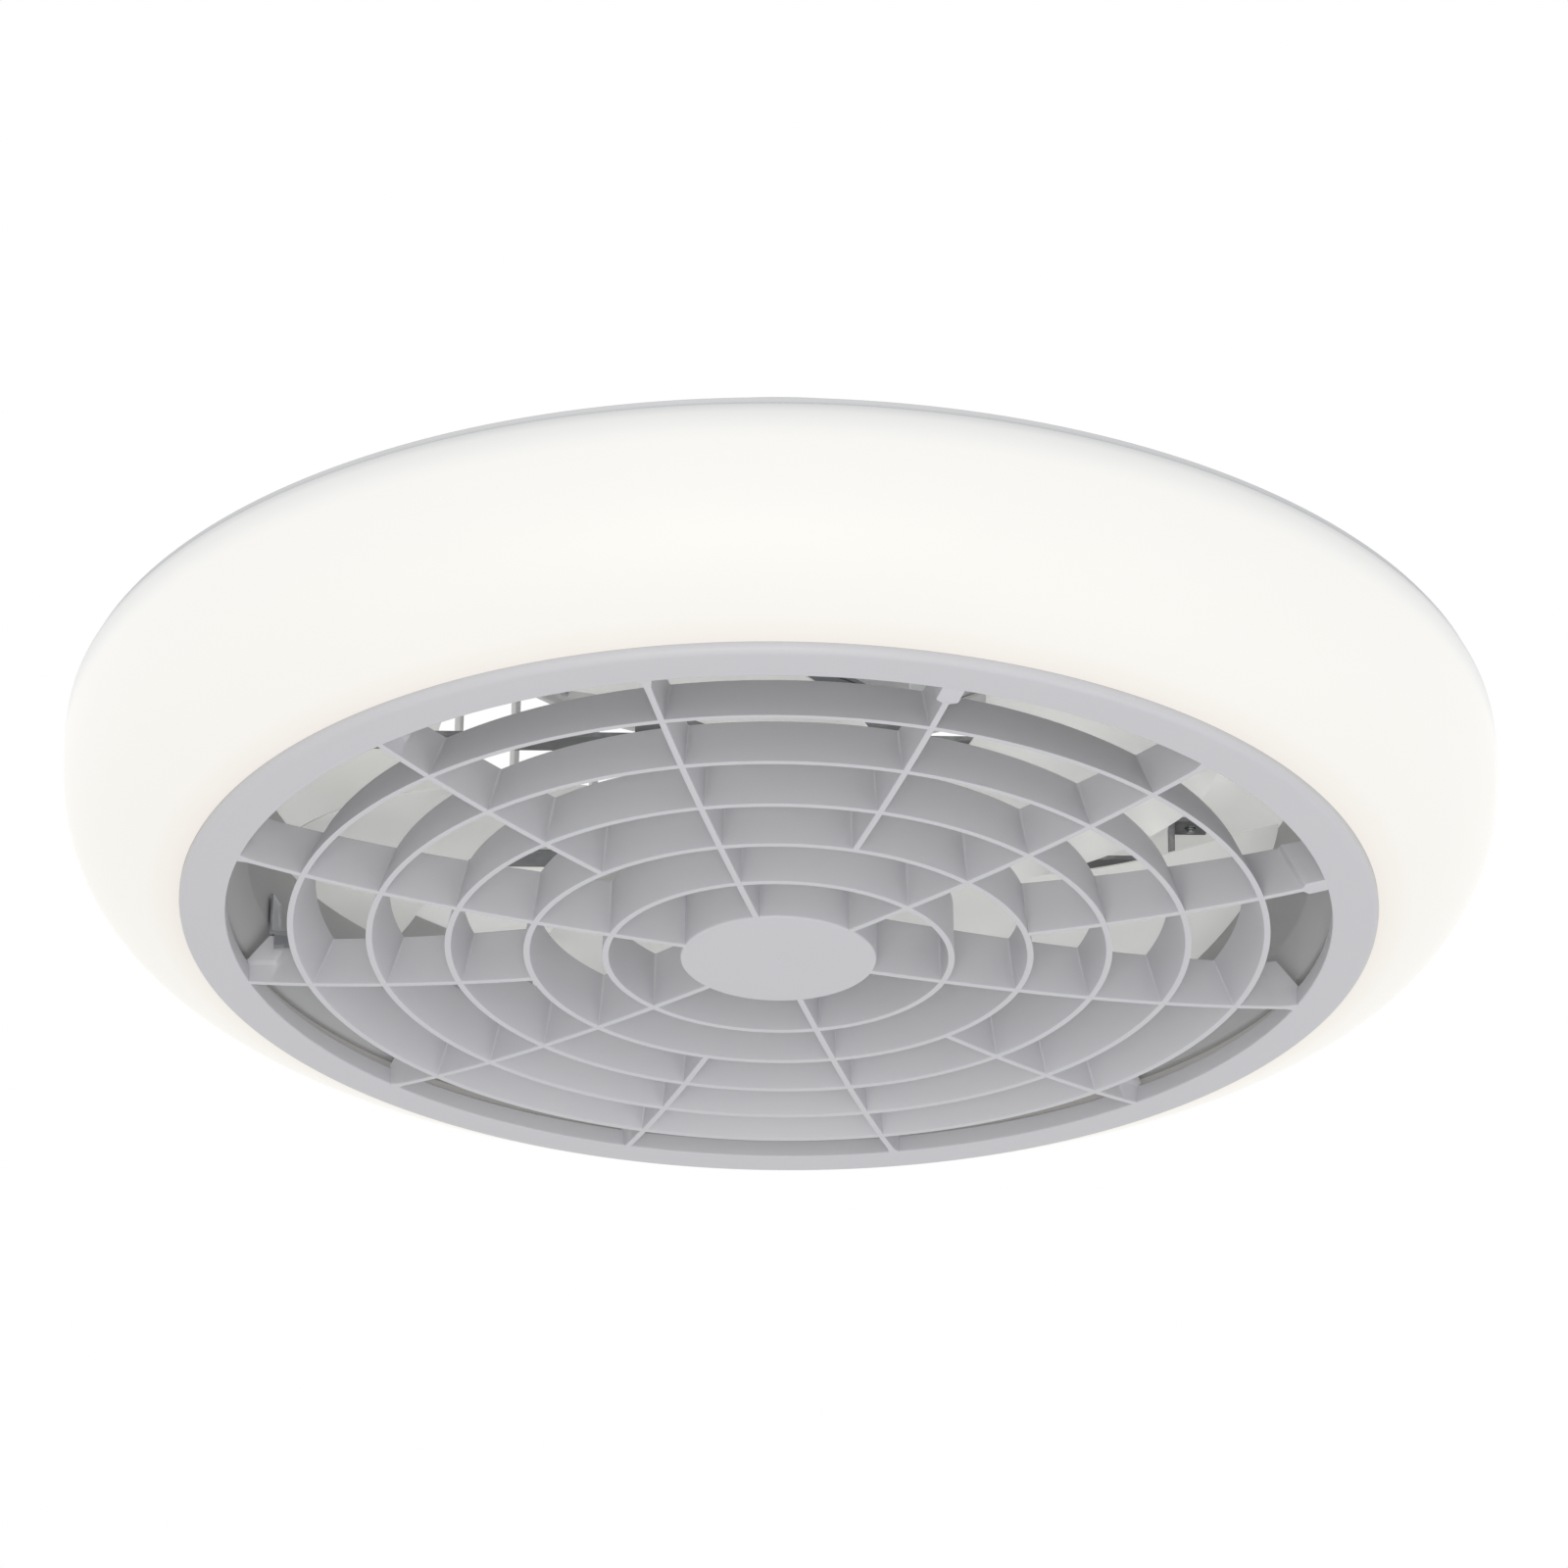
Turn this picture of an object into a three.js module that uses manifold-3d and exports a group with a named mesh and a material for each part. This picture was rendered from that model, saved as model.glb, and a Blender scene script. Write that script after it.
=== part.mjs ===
// Enclosed ceiling fan inside a ring lamp, in millimetres, +Z up.
// The origin is the middle of the ceiling bracket's top face. Heights named here are measured
// up from the lowest point of the grille, and the finished group is lowered by the overall height.
import * as THREE from "three";
import { mergeVertices } from "three/addons/utils/BufferGeometryUtils.js";
import Module from "manifold-3d";

const wasm = await Module();
wasm.setup();

// Fits between pieces
const seat = 0.25; // gap left between two faces that touch
const holeClearance = 0.3; // round a screw in its hole
const runningClearance = 0.06; // shaft in its bearings
const clipFit = 0.4; // spring clips inside the duct
const leadClearance = 1; // round a cable in its hole
const overshoot = 1; // how far a cutter reaches past the face that it cuts

// How finely round shapes are divided
const ringSides = 48;
const innerSides = 36;
const smallSides = 24;
const screwSides = 8;
const cableSides = 8;
const cableSteps = 18;
const hexSides = 6;
const weldDistance = 1e-4; // points closer than this are one

// Ring shade. Its radius sets the size of the grille, the duct and the blades inside it.
const shadeRadius = 275;
const shadeRingWidth = 46.65; // from its lower inner edge out to its widest point
const shadeTopInset = 2.7; // its upper edge lies this far inside its widest point
const shadeBellyHeight = 58.2; // from its lower edge to its widest point
const shadeShoulderHeight = 11.9; // from there to its upper edge
const shadeWall = 2.5;
const shadeLipRise = 5.2; // lip above the lower edge
const shadeLipWidth = 14;
const shadeLowerPower = 2.5; // roundness of the two quarter curves
const shadeUpperPower = 3.35;
const shadeLowerCut = 0.35; // share of the lower quarter curve's width that its edge cuts off
const shadeSteps = [6, 3]; // straight steps in the lower and the upper curve
const shadeInnerSteps = [4, 2];

// Grille: dished guard in a flat frame, with ribs that lean towards the axis near the rim
const grilleFrameWidth = 17.6;
const grilleDiscRadius = 37.4;
const grilleDiscThickness = 3;
const grilleDiscEdge = 1; // chamfer
const firstRingGap = 28.5; // from the disc to the first ring
const lastRingGap = 24.6; // from the last ring to the frame's opening
const ringCount = 5;
const spokePairs = 6;
const innerSpokeRing = 1; // the short spokes start at this ring, counted from 0
const spokeSteps = 3;
const firstSpokeAngle = -103.19;
const ribThickness = 2.5;
const spokeInset = 0.25; // a spoke's edges lie this far inside the edges of the rings
const ribDepthAtAxis = 24.6;
const ribDepthAtRim = 17.3;
const uprightRadius = 60; // ribs stand upright inside this radius
const rimLean = 28; // degrees of lean at the opening
const dishRise = 13.3;
const dishPower = 3;
const frameThickness = 3;
const frameLipHeight = 7.5; // upright lip at the frame's opening, from its lower face
const frameDrop = 1.5; // the frame hangs this far below the shade's lower edge
const bossWidth = 8.6; // at the outer ends of the short spokes
const bossLength = 8;

// Spring clips that hold the grille. Each sits astride a boss and presses against the duct.
const clipPitch = 2; // one on every second boss
const clipSheet = 1;
const clipHeight = 17;
const clipGrip = 6; // its cheeks reach this far down the boss
const clipInset = 1.2; // from its cheeks to the boss's upper end

// Duct, pan and lamp board
const ductMouthGap = 1.5; // the duct's mouth is this much wider than the grille's opening
const ductWall = 2.2;
const ductFlareHeight = 11;
const ductFlareWidth = 9;
const ductFlangeWidth = 13;
const ductTopFlangeWidth = 8;
const panSheet = 1.2;
const panRimHeight = 2.8;
const panLedge = 1; // the pan reaches this far inside the cage wall
const boardInnerGap = 4; // to the duct's top flange
const boardOuterGap = 7.8; // to the shade
const boardThickness = 1.6;
const diodeCount = 24;
const diodeSize = 5;
const diodeHeight = 1.2;
const diodeSink = 0.3; // into the board
const lampLeadAngle = 187;
const lampLeadInset = 6; // from the board's inner edge to its cable

// Intake cage, deck and canopy
const cageRadius = 137;
const cageWall = 3;
const cageHeight = 79.3;
const cageUprights = 20;
const cageUprightWidth = 3.2;
const firstUprightAngle = 16;
const cageSillHeight = 11;
const cageHeadHeight = 5;
const cageFlangeThickness = 2;
const cageFootWidth = 13;
const cageShelfWidth = 11;
const cageScrews = 4;
const deckThickness = 1.6;
const deckScrewWindow = 1; // deck screws sit this many windows further round than the cage screws
const canopyRadius = 104;
const canopyHeight = 14.6;
const canopySheet = 1.2;
const canopyFlangeWidth = 10;
const ceilingGap = 0.5;

// Ceiling bracket
const bracketWidth = 36;
const bracketSheet = 2;
const bracketEarHeight = 11;
const bracketEarGap = 3; // to the inside of the canopy
const anchorSlotSpacing = 80;
const anchorSlotWidth = 5;
const anchorSlotLength = 16;
const supplyHoleRadius = 7;
const supplyHoleX = 72;

// Motor and its cradle
const strapGap = 5; // from the cage's foot to the straps' legs
const strapSpacing = 100;
const strapWidth = 12;
const strapSheet = 2;
const strapDrop = 17.1;
const strapFootLength = 13;
const plateLength = 124;
const plateBreadth = 110;
const plateSheet = 2;
const plateScrewInset = 8;
const plateHoleGap = 4; // round the shaft
const canRadius = 43;
const canHeight = 32;
const canWall = 2;
const canHoleGap = 2; // round the shaft
const shaftRadius = 4;
const shaftBelowPlate = 38;
const shaftEndGap = 0.5; // its upper end below the upper bearing's top
const bearingRadius = 11;
const bearingHeight = 7;
const bossWall = 2.5;
const magnetRadius = 20;
const magnetHeight = 15;
const airGap = 0.8;
const statorHeight = 17;
const slotCount = 9;
const slotWidth = 7;
const slotDepth = 13;
const toothTip = 3; // between a slot and the magnet's bore
const motorScrews = 4;
const motorScrewCircle = 34;
const motorLeadY = -28;

// Impeller
const hubRadius = 44;
const hubHeight = 22;
const hubWall = 3;
const hubEdge = 3; // chamfer
const hubBossWall = 5;
const bladeCount = 5;
const tipClearance = 11; // from the blades' tips to the duct
const bladeThickness = 2;
const bladeRise = 21; // height between its two long edges
const bladeSpan = 48; // degrees round the axis
const bladeSweep = 0.35; // degrees per millimetre of radius
const firstBladeAngle = 20;
const bladeCamber = 3;
const bladeRootShare = 0.72; // width at the hub, as a share of the full width
const bladeFullFrom = 0.35; // full width from this share of its length on
const bladeRoundFrom = 0.75; // the tip rounds off from this share on
const bladeTipCut = 0.16; // share of the width that the rounding takes away
const bladeSteps = { along: 7, across: 4 };
const hubGap = 4.5; // between the hub and the motor plate
const washerRadius = 10;
const washerThickness = 1.2;
const nutRadius = 8;
const nutHeight = 6;

// Screws
const screwHeadRadius = 3.4;
const screwHeadTopRadius = 2.7;
const screwHeadHeight = 1.9;
const screwShankRadius = 1.7;
const sheetScrewLength = 6;
const flangeScrewLength = 7;
const canopyScrewEnd = 3; // past the bracket's ear
const sideHoleLength = 20;
const ductScrews = { count: 3, firstAngle: 60 };
const shadeScrews = { count: 3, firstAngle: 30 };

// Electronics and inner cables
const driverSize = new THREE.Vector3(104, 42, 24);
const controllerSize = new THREE.Vector3(72, 36, 18);
const terminalSize = new THREE.Vector3(34, 18, 10);
const terminalY = 40;
const terminalPitch = 10;
const wireHoleRadius = 2;
const electronicsSpacing = 60;
const grommetRadius = 9;
const grommetBore = 5.5;
const grommetNeck = 7;
const grommetLip = 2.5; // above and below the deck
const cableRadius = 2.2;

// Radii that follow, from the outside in
const shadeTopRadius = shadeRadius - shadeTopInset;
const shadeEdgeRadius = shadeRadius - shadeRingWidth;
const grilleRadius = shadeEdgeRadius - seat;
const grilleOpeningRadius = grilleRadius - grilleFrameWidth;
const firstRingRadius = grilleDiscRadius + firstRingGap;
const ringPitch = (grilleOpeningRadius - lastRingGap - firstRingRadius) / (ringCount - 1);
const ductRadius = grilleOpeningRadius + ductMouthGap - ductFlareWidth;
const ductFlareRadius = ductRadius + ductFlareWidth;
const boardInnerRadius = ductRadius + ductTopFlangeWidth + boardInnerGap;
const boardOuterRadius = shadeTopRadius - shadeWall - boardOuterGap;
const bladeTipRadius = ductRadius - tipClearance;
const cageInner = cageRadius - cageWall;
const panOpeningRadius = cageInner - panLedge;
const strapReach = cageRadius + cageFootWidth + strapGap;

// Heights that follow from the sizes above
const ribTop = (r) => dishHeight(r) + ribDepth(r);
const shadeBottom = dishRise + frameDrop;
const shadeBelly = shadeBottom + shadeBellyHeight;
const shadeTop = shadeBelly + shadeShoulderHeight;
const shadeLipBottom = shadeBottom + shadeLipRise;
const ductBottom = shadeLipBottom + shadeWall + seat;
const panBottom = shadeTop + seat;
const panTop = panBottom + panSheet;
const ductTop = panBottom - seat;
const cageBottom = panTop + seat;
const cageTop = cageBottom + cageHeight;
const deckBottom = cageTop + seat;
const deckTop = deckBottom + deckThickness;
const canopyBottom = deckTop + seat;
const canopyTop = canopyBottom + canopyHeight;
const overallHeight = canopyTop + ceilingGap;
const strapTop = panBottom - seat - strapDrop;
const plateBottom = strapTop + seat;
const plateTop = plateBottom + plateSheet;
const canBottom = plateTop + seat;
const canTop = canBottom + canHeight;
const hubTop = strapTop - strapSheet - hubGap;
const hubBottom = hubTop - hubHeight;

// Materials
const finish = (color, roughness, metalness = 0) =>
  new THREE.MeshStandardMaterial({ color, roughness, metalness });
const opalAcrylic = finish(0xfdfaf3, 0.35);
const greyPlastic = finish(0xbfc0c6, 0.5);
const paleBlade = finish(0xd8d8d2, 0.4);
const whitePlastic = finish(0xe6e6e4, 0.5);
const whitePaint = finish(0xe2e3e5, 0.45, 0.1);
const zincSteel = finish(0x8f9296, 0.4, 0.9);
const motorPaint = finish(0x55585c, 0.5, 0.6);
const darkSteel = finish(0x6a6c70, 0.35, 0.9);
const copper = finish(0xb06a3a, 0.4, 0.8);
const magnet = finish(0x3a3a3c, 0.6, 0.5);
const boardWhite = finish(0xf1f1ee, 0.6);
const boxPlastic = finish(0xd9dadb, 0.6);
const rubber = finish(0x2a2a2c, 0.9);

// Closed geometry to solid, and back to a named mesh
function solid(geometry) {
  const bare = geometry.clone();
  bare.deleteAttribute("normal");
  bare.deleteAttribute("uv");
  const merged = mergeVertices(bare, weldDistance);
  const vertProperties = merged.attributes.position.array;
  const triVerts = new Uint32Array(merged.index.array);
  return new wasm.Manifold(new wasm.Mesh({ numProp: 3, vertProperties, triVerts }));
}

function join(solids) {
  return solids.reduce((sum, next) => sum.add(next));
}

function cut(body, tools) {
  return tools.reduce((rest, tool) => rest.subtract(tool), body);
}

const fan = new THREE.Group();
const assembly = new THREE.Group();
assembly.position.z = -overallHeight;
fan.add(assembly);

function addPiece(name, shape, material) {
  const { vertProperties, triVerts } = shape.getMesh();
  const geometry = new THREE.BufferGeometry();
  geometry.setAttribute("position", new THREE.BufferAttribute(vertProperties, 3));
  geometry.setIndex(new THREE.BufferAttribute(triVerts, 1));
  geometry.computeVertexNormals();
  const mesh = new THREE.Mesh(geometry, material);
  mesh.name = name;
  assembly.add(mesh);
}

// Basic forms. A turned form's outline is a list of [radius, height], counter-clockwise.
function turned(outline, sides) {
  const points = outline.map(([r, z]) => new THREE.Vector2(r, z));
  if (outline[0][0] > 0) points.push(points[0].clone());
  return solid(new THREE.LatheGeometry(points, sides).rotateX(Math.PI / 2));
}

function tube(innerRadius, outerRadius, bottom, top, sides) {
  const outline = [
    [innerRadius, bottom],
    [outerRadius, bottom],
    [outerRadius, top],
    [innerRadius, top],
  ];
  return turned(outline, sides);
}

function disc(radius, bottom, top, sides) {
  return turned([[0, bottom], [radius, bottom], [radius, top], [0, top]], sides);
}

function block(low, high) {
  const size = new THREE.Vector3().subVectors(high, low);
  const middle = new THREE.Vector3().addVectors(low, high).multiplyScalar(0.5);
  const box = new THREE.BoxGeometry(size.x, size.y, size.z);
  return solid(box.translate(middle.x, middle.y, middle.z));
}

// Block that points outward along the given direction, from one radius to another
function radialBlock(angle, innerRadius, outerRadius, width, bottom, top) {
  const box = new THREE.BoxGeometry(outerRadius - innerRadius, width, top - bottom);
  box.translate((innerRadius + outerRadius) / 2, 0, (bottom + top) / 2);
  return solid(box.rotateZ(THREE.MathUtils.degToRad(angle)));
}

// Upright plate that points outward along the given direction, its outline as [radius, height]
function radialPlate(angle, outline, thickness) {
  const shape = new THREE.Shape(outline.map(([r, z]) => new THREE.Vector2(r, z)));
  const plate = new THREE.ExtrudeGeometry(shape, { depth: thickness, bevelEnabled: false });
  plate.translate(0, 0, -thickness / 2).rotateX(Math.PI / 2);
  return solid(plate.rotateZ(THREE.MathUtils.degToRad(angle)));
}

// Outline of [x, z] points, given a width along Y
function bentStrip(outline, width, middleY) {
  const shape = new THREE.Shape(outline.map(([x, z]) => new THREE.Vector2(x, z)));
  const strip = new THREE.ExtrudeGeometry(shape, { depth: width, bevelEnabled: false });
  return solid(strip.translate(0, 0, -width / 2).rotateX(Math.PI / 2).translate(0, middleY, 0));
}

const around = (angle, radius) => [
  radius * Math.cos(THREE.MathUtils.degToRad(angle)),
  radius * Math.sin(THREE.MathUtils.degToRad(angle)),
];

// Angles of copies spread evenly round the axis, and the places of screws at those angles
const evenly = (count, first) => Array.from({ length: count }, (_, i) => first + (i * 360) / count);
const ringOf = (count, first, radius) => evenly(count, first).map((angle) => around(angle, radius));

// Upright screw at (x, y): its head rests on the seat height and points up, or down when flipped
function screw(x, y, headSeat, shankLength, flipped = false) {
  const outline = [
    [0, -shankLength],
    [screwShankRadius, -shankLength],
    [screwShankRadius, 0],
    [screwHeadRadius, 0],
    [screwHeadTopRadius, screwHeadHeight],
    [0, screwHeadHeight],
  ];
  const points = outline.map(([r, z]) => new THREE.Vector2(r, z));
  const form = new THREE.LatheGeometry(points, screwSides).rotateX(Math.PI / 2);
  if (flipped) form.rotateX(Math.PI);
  return solid(form.translate(x, y, headSeat));
}

// Hole through whatever lies between two heights
function screwHole(x, y, bottom, top) {
  const radius = (screwShankRadius + holeClearance) / Math.cos(Math.PI / screwSides);
  const depth = top - bottom + 2 * overshoot;
  const hole = new THREE.CylinderGeometry(radius, radius, depth, screwSides).rotateX(Math.PI / 2);
  return solid(hole.translate(x, y, (bottom + top) / 2));
}

// Places of the screws, as [x, y]
const windowPitch = 360 / cageUprights;
const cageScrewAngle = firstUprightAngle + windowPitch / 2;
const deckScrewAngle = cageScrewAngle + deckScrewWindow * windowPitch;
const shelfMiddle = cageInner - cageShelfWidth / 2;
const topFlangeMiddle = ductRadius + (ductWall + ductTopFlangeWidth) / 2;
const lipMiddle = (shadeEdgeRadius - shadeLipWidth + ductFlareRadius + ductFlangeWidth) / 2;
const cageScrewPlaces = ringOf(cageScrews, cageScrewAngle, cageRadius + cageFootWidth / 2);
const deckScrewPlaces = ringOf(cageScrews, deckScrewAngle, shelfMiddle);
const ductScrewPlaces = ringOf(ductScrews.count, ductScrews.firstAngle, topFlangeMiddle);
const shadeScrewPlaces = ringOf(shadeScrews.count, shadeScrews.firstAngle, lipMiddle);
const motorScrewPlaces = ringOf(motorScrews, 180 / motorScrews, motorScrewCircle);
const strapSides = [-1, 1];
const corners = (x, y) => strapSides.flatMap((sx) => strapSides.map((sy) => [sx * x, sy * y]));
const cradleScrewPlaces = corners(strapReach + strapFootLength / 2, strapSpacing / 2);
const plateScrewPlaces = corners(plateBreadth / 2 - plateScrewInset, strapSpacing / 2);

function addScrews(name, places, headSeat, shankLength, flipped) {
  places.forEach(([x, y], i) => {
    addPiece(name + "_" + (i + 1), screw(x, y, headSeat, shankLength, flipped), zincSteel);
  });
}

// Grille. Its rings and the shade are turned so that each spoke meets the middle of a flat.
const flatPhase = firstSpokeAngle + 180 / ringSides;
const shortSpokeAngle = firstSpokeAngle + 180 / spokePairs;
const bossStart = grilleOpeningRadius - bossLength;

function dishHeight(r) {
  return dishRise * (r / grilleRadius) ** dishPower;
}

function ribDepth(r) {
  return ribDepthAtAxis + ((ribDepthAtRim - ribDepthAtAxis) * r) / grilleRadius;
}

function leanOffset(r) {
  const share = Math.max(0, r - uprightRadius) / (grilleOpeningRadius - uprightRadius);
  return ribDepth(r) * Math.tan(THREE.MathUtils.degToRad(rimLean * share));
}

function grilleRing(radius) {
  const lean = leanOffset(radius);
  const half = ribThickness / 2;
  return turned(
    [
      [radius - half, dishHeight(radius)],
      [radius + half, dishHeight(radius)],
      [radius + half - lean, ribTop(radius)],
      [radius - half - lean, ribTop(radius)],
    ],
    ringSides,
  );
}

function grilleFrame() {
  const inner = grilleOpeningRadius;
  const bottom = dishHeight(inner);
  return turned(
    [
      [inner, bottom],
      [grilleRadius, dishRise],
      [grilleRadius, dishRise + frameThickness],
      [inner + ribThickness, bottom + frameThickness],
      [inner + ribThickness, bottom + frameLipHeight],
      [inner, bottom + frameLipHeight],
    ],
    ringSides,
  );
}

function grilleDisc() {
  const wallTop = ribTop(grilleDiscRadius);
  return turned(
    [
      [0, 0],
      [grilleDiscRadius - grilleDiscEdge, 0],
      [grilleDiscRadius, grilleDiscEdge],
      [grilleDiscRadius, wallTop],
      [grilleDiscRadius - ribThickness, wallTop],
      [grilleDiscRadius - ribThickness, grilleDiscThickness],
      [0, grilleDiscThickness],
    ],
    ringSides / 2,
  );
}

// A spoke is a flat plate from an inner radius to the frame's lip. Its lower edge follows the
// dish, and its upper edge and its ends follow the ribs that lean, except where it meets the lip.
function spoke(angle, innerRadius, thickness = ribThickness) {
  const outerRadius = grilleOpeningRadius + ribThickness / 2;
  const step = (outerRadius - innerRadius) / spokeSteps;
  const radii = Array.from({ length: spokeSteps + 1 }, (_, i) => innerRadius + i * step);
  const lower = radii.map((r) => [r, dishHeight(r) + spokeInset]);
  const upper = radii.map((r) => [r - leanOffset(r), ribTop(r) - spokeInset]).reverse();
  const lipTop = [outerRadius, dishHeight(grilleOpeningRadius) + frameLipHeight - spokeInset];
  return radialPlate(angle, [...lower, lipTop, ...upper], thickness);
}

function grille() {
  const ringRadii = Array.from({ length: ringCount }, (_, i) => firstRingRadius + i * ringPitch);
  const round = [grilleFrame(), ...ringRadii.map(grilleRing)];
  const pieces = round.map((ring) => ring.rotate([0, 0, flatPhase]));
  for (const angle of evenly(spokePairs, firstSpokeAngle)) {
    pieces.push(spoke(angle, grilleDiscRadius - ribThickness));
  }
  for (const angle of evenly(spokePairs, shortSpokeAngle)) {
    pieces.push(spoke(angle, ringRadii[innerSpokeRing]));
    pieces.push(spoke(angle, bossStart, bossWidth));
  }
  return join([grilleDisc(), ...pieces]);
}

// Clip: a bent strip that lies on the boss and stands up inside the duct, with a cheek on each side
function grilleClip(angle) {
  const inner = bossStart - leanOffset(bossStart);
  const corner = grilleOpeningRadius - leanOffset(grilleOpeningRadius);
  const outer = ductRadius * Math.cos(Math.PI / innerSides) - clipFit;
  const foot = ribTop(bossStart) - spokeInset + seat;
  const heel = ribTop(grilleOpeningRadius) + seat;
  const strip = [
    [inner, foot],
    [corner, heel],
    [outer, heel],
    [outer, heel + clipHeight],
    [outer - clipSheet, heel + clipHeight],
    [outer - clipSheet, heel + clipSheet],
    [corner - clipSheet, heel + clipSheet],
    [inner, foot + clipSheet],
  ];
  const cheek = [
    [inner, foot - clipGrip],
    [corner - clipInset, foot - clipGrip],
    [corner - clipInset, heel],
    [inner, foot + clipSheet / 2],
  ];
  const fork = bossWidth + 2 * seat;
  const breadth = fork + 2 * clipSheet;
  const forkBottom = foot - clipGrip - overshoot;
  const gap = radialBlock(angle, inner - overshoot, corner, fork, forkBottom, heel + overshoot);
  const cheeks = cut(radialPlate(angle, cheek, breadth), [gap]);
  return join([radialPlate(angle, strip, breadth), cheeks]);
}

// Shade: two quarter curves outside, a thinner pair inside, and a flat lip under the duct. The
// lower curve starts part of the way along its quarter, so that it rises from the edge at a slope.
function lowerCurve(edge, belly, bottom, top, steps) {
  const start = Math.asin(shadeLowerCut ** (shadeLowerPower / 2));
  const width = (belly - edge) / (1 - shadeLowerCut);
  const height = (top - bottom) / Math.cos(start) ** (2 / shadeLowerPower);
  return Array.from({ length: steps + 1 }, (_, i) => {
    const turn = start + (Math.PI / 2 - start) * (i / steps);
    const out = Math.sin(turn) ** (2 / shadeLowerPower);
    const down = Math.cos(turn) ** (2 / shadeLowerPower);
    return [belly - width * (1 - out), top - height * down];
  });
}

function upperCurve(belly, rim, bottom, top, steps) {
  return Array.from({ length: steps }, (_, i) => {
    const turn = (Math.PI / 2) * ((i + 1) / steps);
    const up = Math.sin(turn) ** (2 / shadeUpperPower);
    const out = Math.cos(turn) ** (2 / shadeUpperPower);
    return [rim + (belly - rim) * out, bottom + (top - bottom) * up];
  });
}

function lightShade() {
  const lipTop = shadeLipBottom + shadeWall;
  const lipInner = shadeEdgeRadius - shadeLipWidth;
  const edge = shadeEdgeRadius + shadeWall;
  const belly = shadeRadius - shadeWall;
  const outside = [
    ...lowerCurve(shadeEdgeRadius, shadeRadius, shadeBottom, shadeBelly, shadeSteps[0]),
    ...upperCurve(shadeRadius, shadeTopRadius, shadeBelly, shadeTop, shadeSteps[1]),
  ];
  const inside = [
    ...lowerCurve(edge, belly, lipTop, shadeBelly, shadeInnerSteps[0]),
    ...upperCurve(belly, shadeTopRadius - shadeWall, shadeBelly, shadeTop, shadeInnerSteps[1]),
  ].reverse();
  const lip = [[lipInner, lipTop], [lipInner, shadeLipBottom], [shadeEdgeRadius, shadeLipBottom]];
  const ring = turned([...lip, ...outside, ...inside], ringSides).rotate([0, 0, flatPhase]);
  return cut(ring, shadeScrewPlaces.map(([x, y]) => screwHole(x, y, shadeLipBottom, lipTop)));
}

// Duct: straight wall that flares at its foot, with a flange at each end
function airDuct() {
  const outer = ductRadius + ductWall;
  const bend = ductBottom + ductFlareHeight;
  const wall = turned(
    [
      [ductFlareRadius, ductBottom],
      [ductFlareRadius + ductFlangeWidth, ductBottom],
      [ductFlareRadius + ductFlangeWidth, ductBottom + ductWall],
      [ductFlareRadius + ductWall, ductBottom + ductWall],
      [outer, bend + ductWall / 2],
      [outer, ductTop - ductWall],
      [ductRadius + ductTopFlangeWidth, ductTop - ductWall],
      [ductRadius + ductTopFlangeWidth, ductTop],
      [ductRadius, ductTop],
      [ductRadius, bend],
    ],
    innerSides,
  );
  const holes = [
    ...shadeScrewPlaces.map(([x, y]) => screwHole(x, y, ductBottom, ductBottom + ductWall)),
    ...ductScrewPlaces.map(([x, y]) => screwHole(x, y, ductTop - ductWall, ductTop)),
  ];
  return cut(wall, holes);
}

// Pan: flat ring with a turned-up edge
const lampLeadHole = around(lampLeadAngle, boardInnerRadius + lampLeadInset);

function leadHole(x, y, bottom, top) {
  const hole = disc(cableRadius + leadClearance, bottom - overshoot, top + overshoot, screwSides);
  return hole.translate([x, y, 0]);
}

function chassisPan() {
  const rimOuter = shadeTopRadius;
  const ring = turned(
    [
      [panOpeningRadius, panBottom],
      [rimOuter, panBottom],
      [rimOuter, panBottom + panRimHeight],
      [rimOuter - panSheet, panBottom + panRimHeight],
      [rimOuter - panSheet, panTop],
      [panOpeningRadius, panTop],
    ],
    ringSides,
  );
  const places = [...cageScrewPlaces, ...ductScrewPlaces, ...cradleScrewPlaces];
  const holes = places.map(([x, y]) => screwHole(x, y, panBottom, panTop));
  return cut(ring, [...holes, leadHole(...lampLeadHole, panBottom, panTop)]);
}

// Lamp board: ring of board with its diodes on the underside
function lampBoard() {
  const top = panBottom - seat;
  const bottom = top - boardThickness;
  const middle = (boardInnerRadius + boardOuterRadius) / 2;
  const half = diodeSize / 2;
  const diodes = evenly(diodeCount, 0).map((angle) =>
    radialBlock(angle, middle - half, middle + half, diodeSize, bottom - diodeHeight, bottom + diodeSink),
  );
  return join([tube(boardInnerRadius, boardOuterRadius, bottom, top, innerSides), ...diodes]);
}

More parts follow.
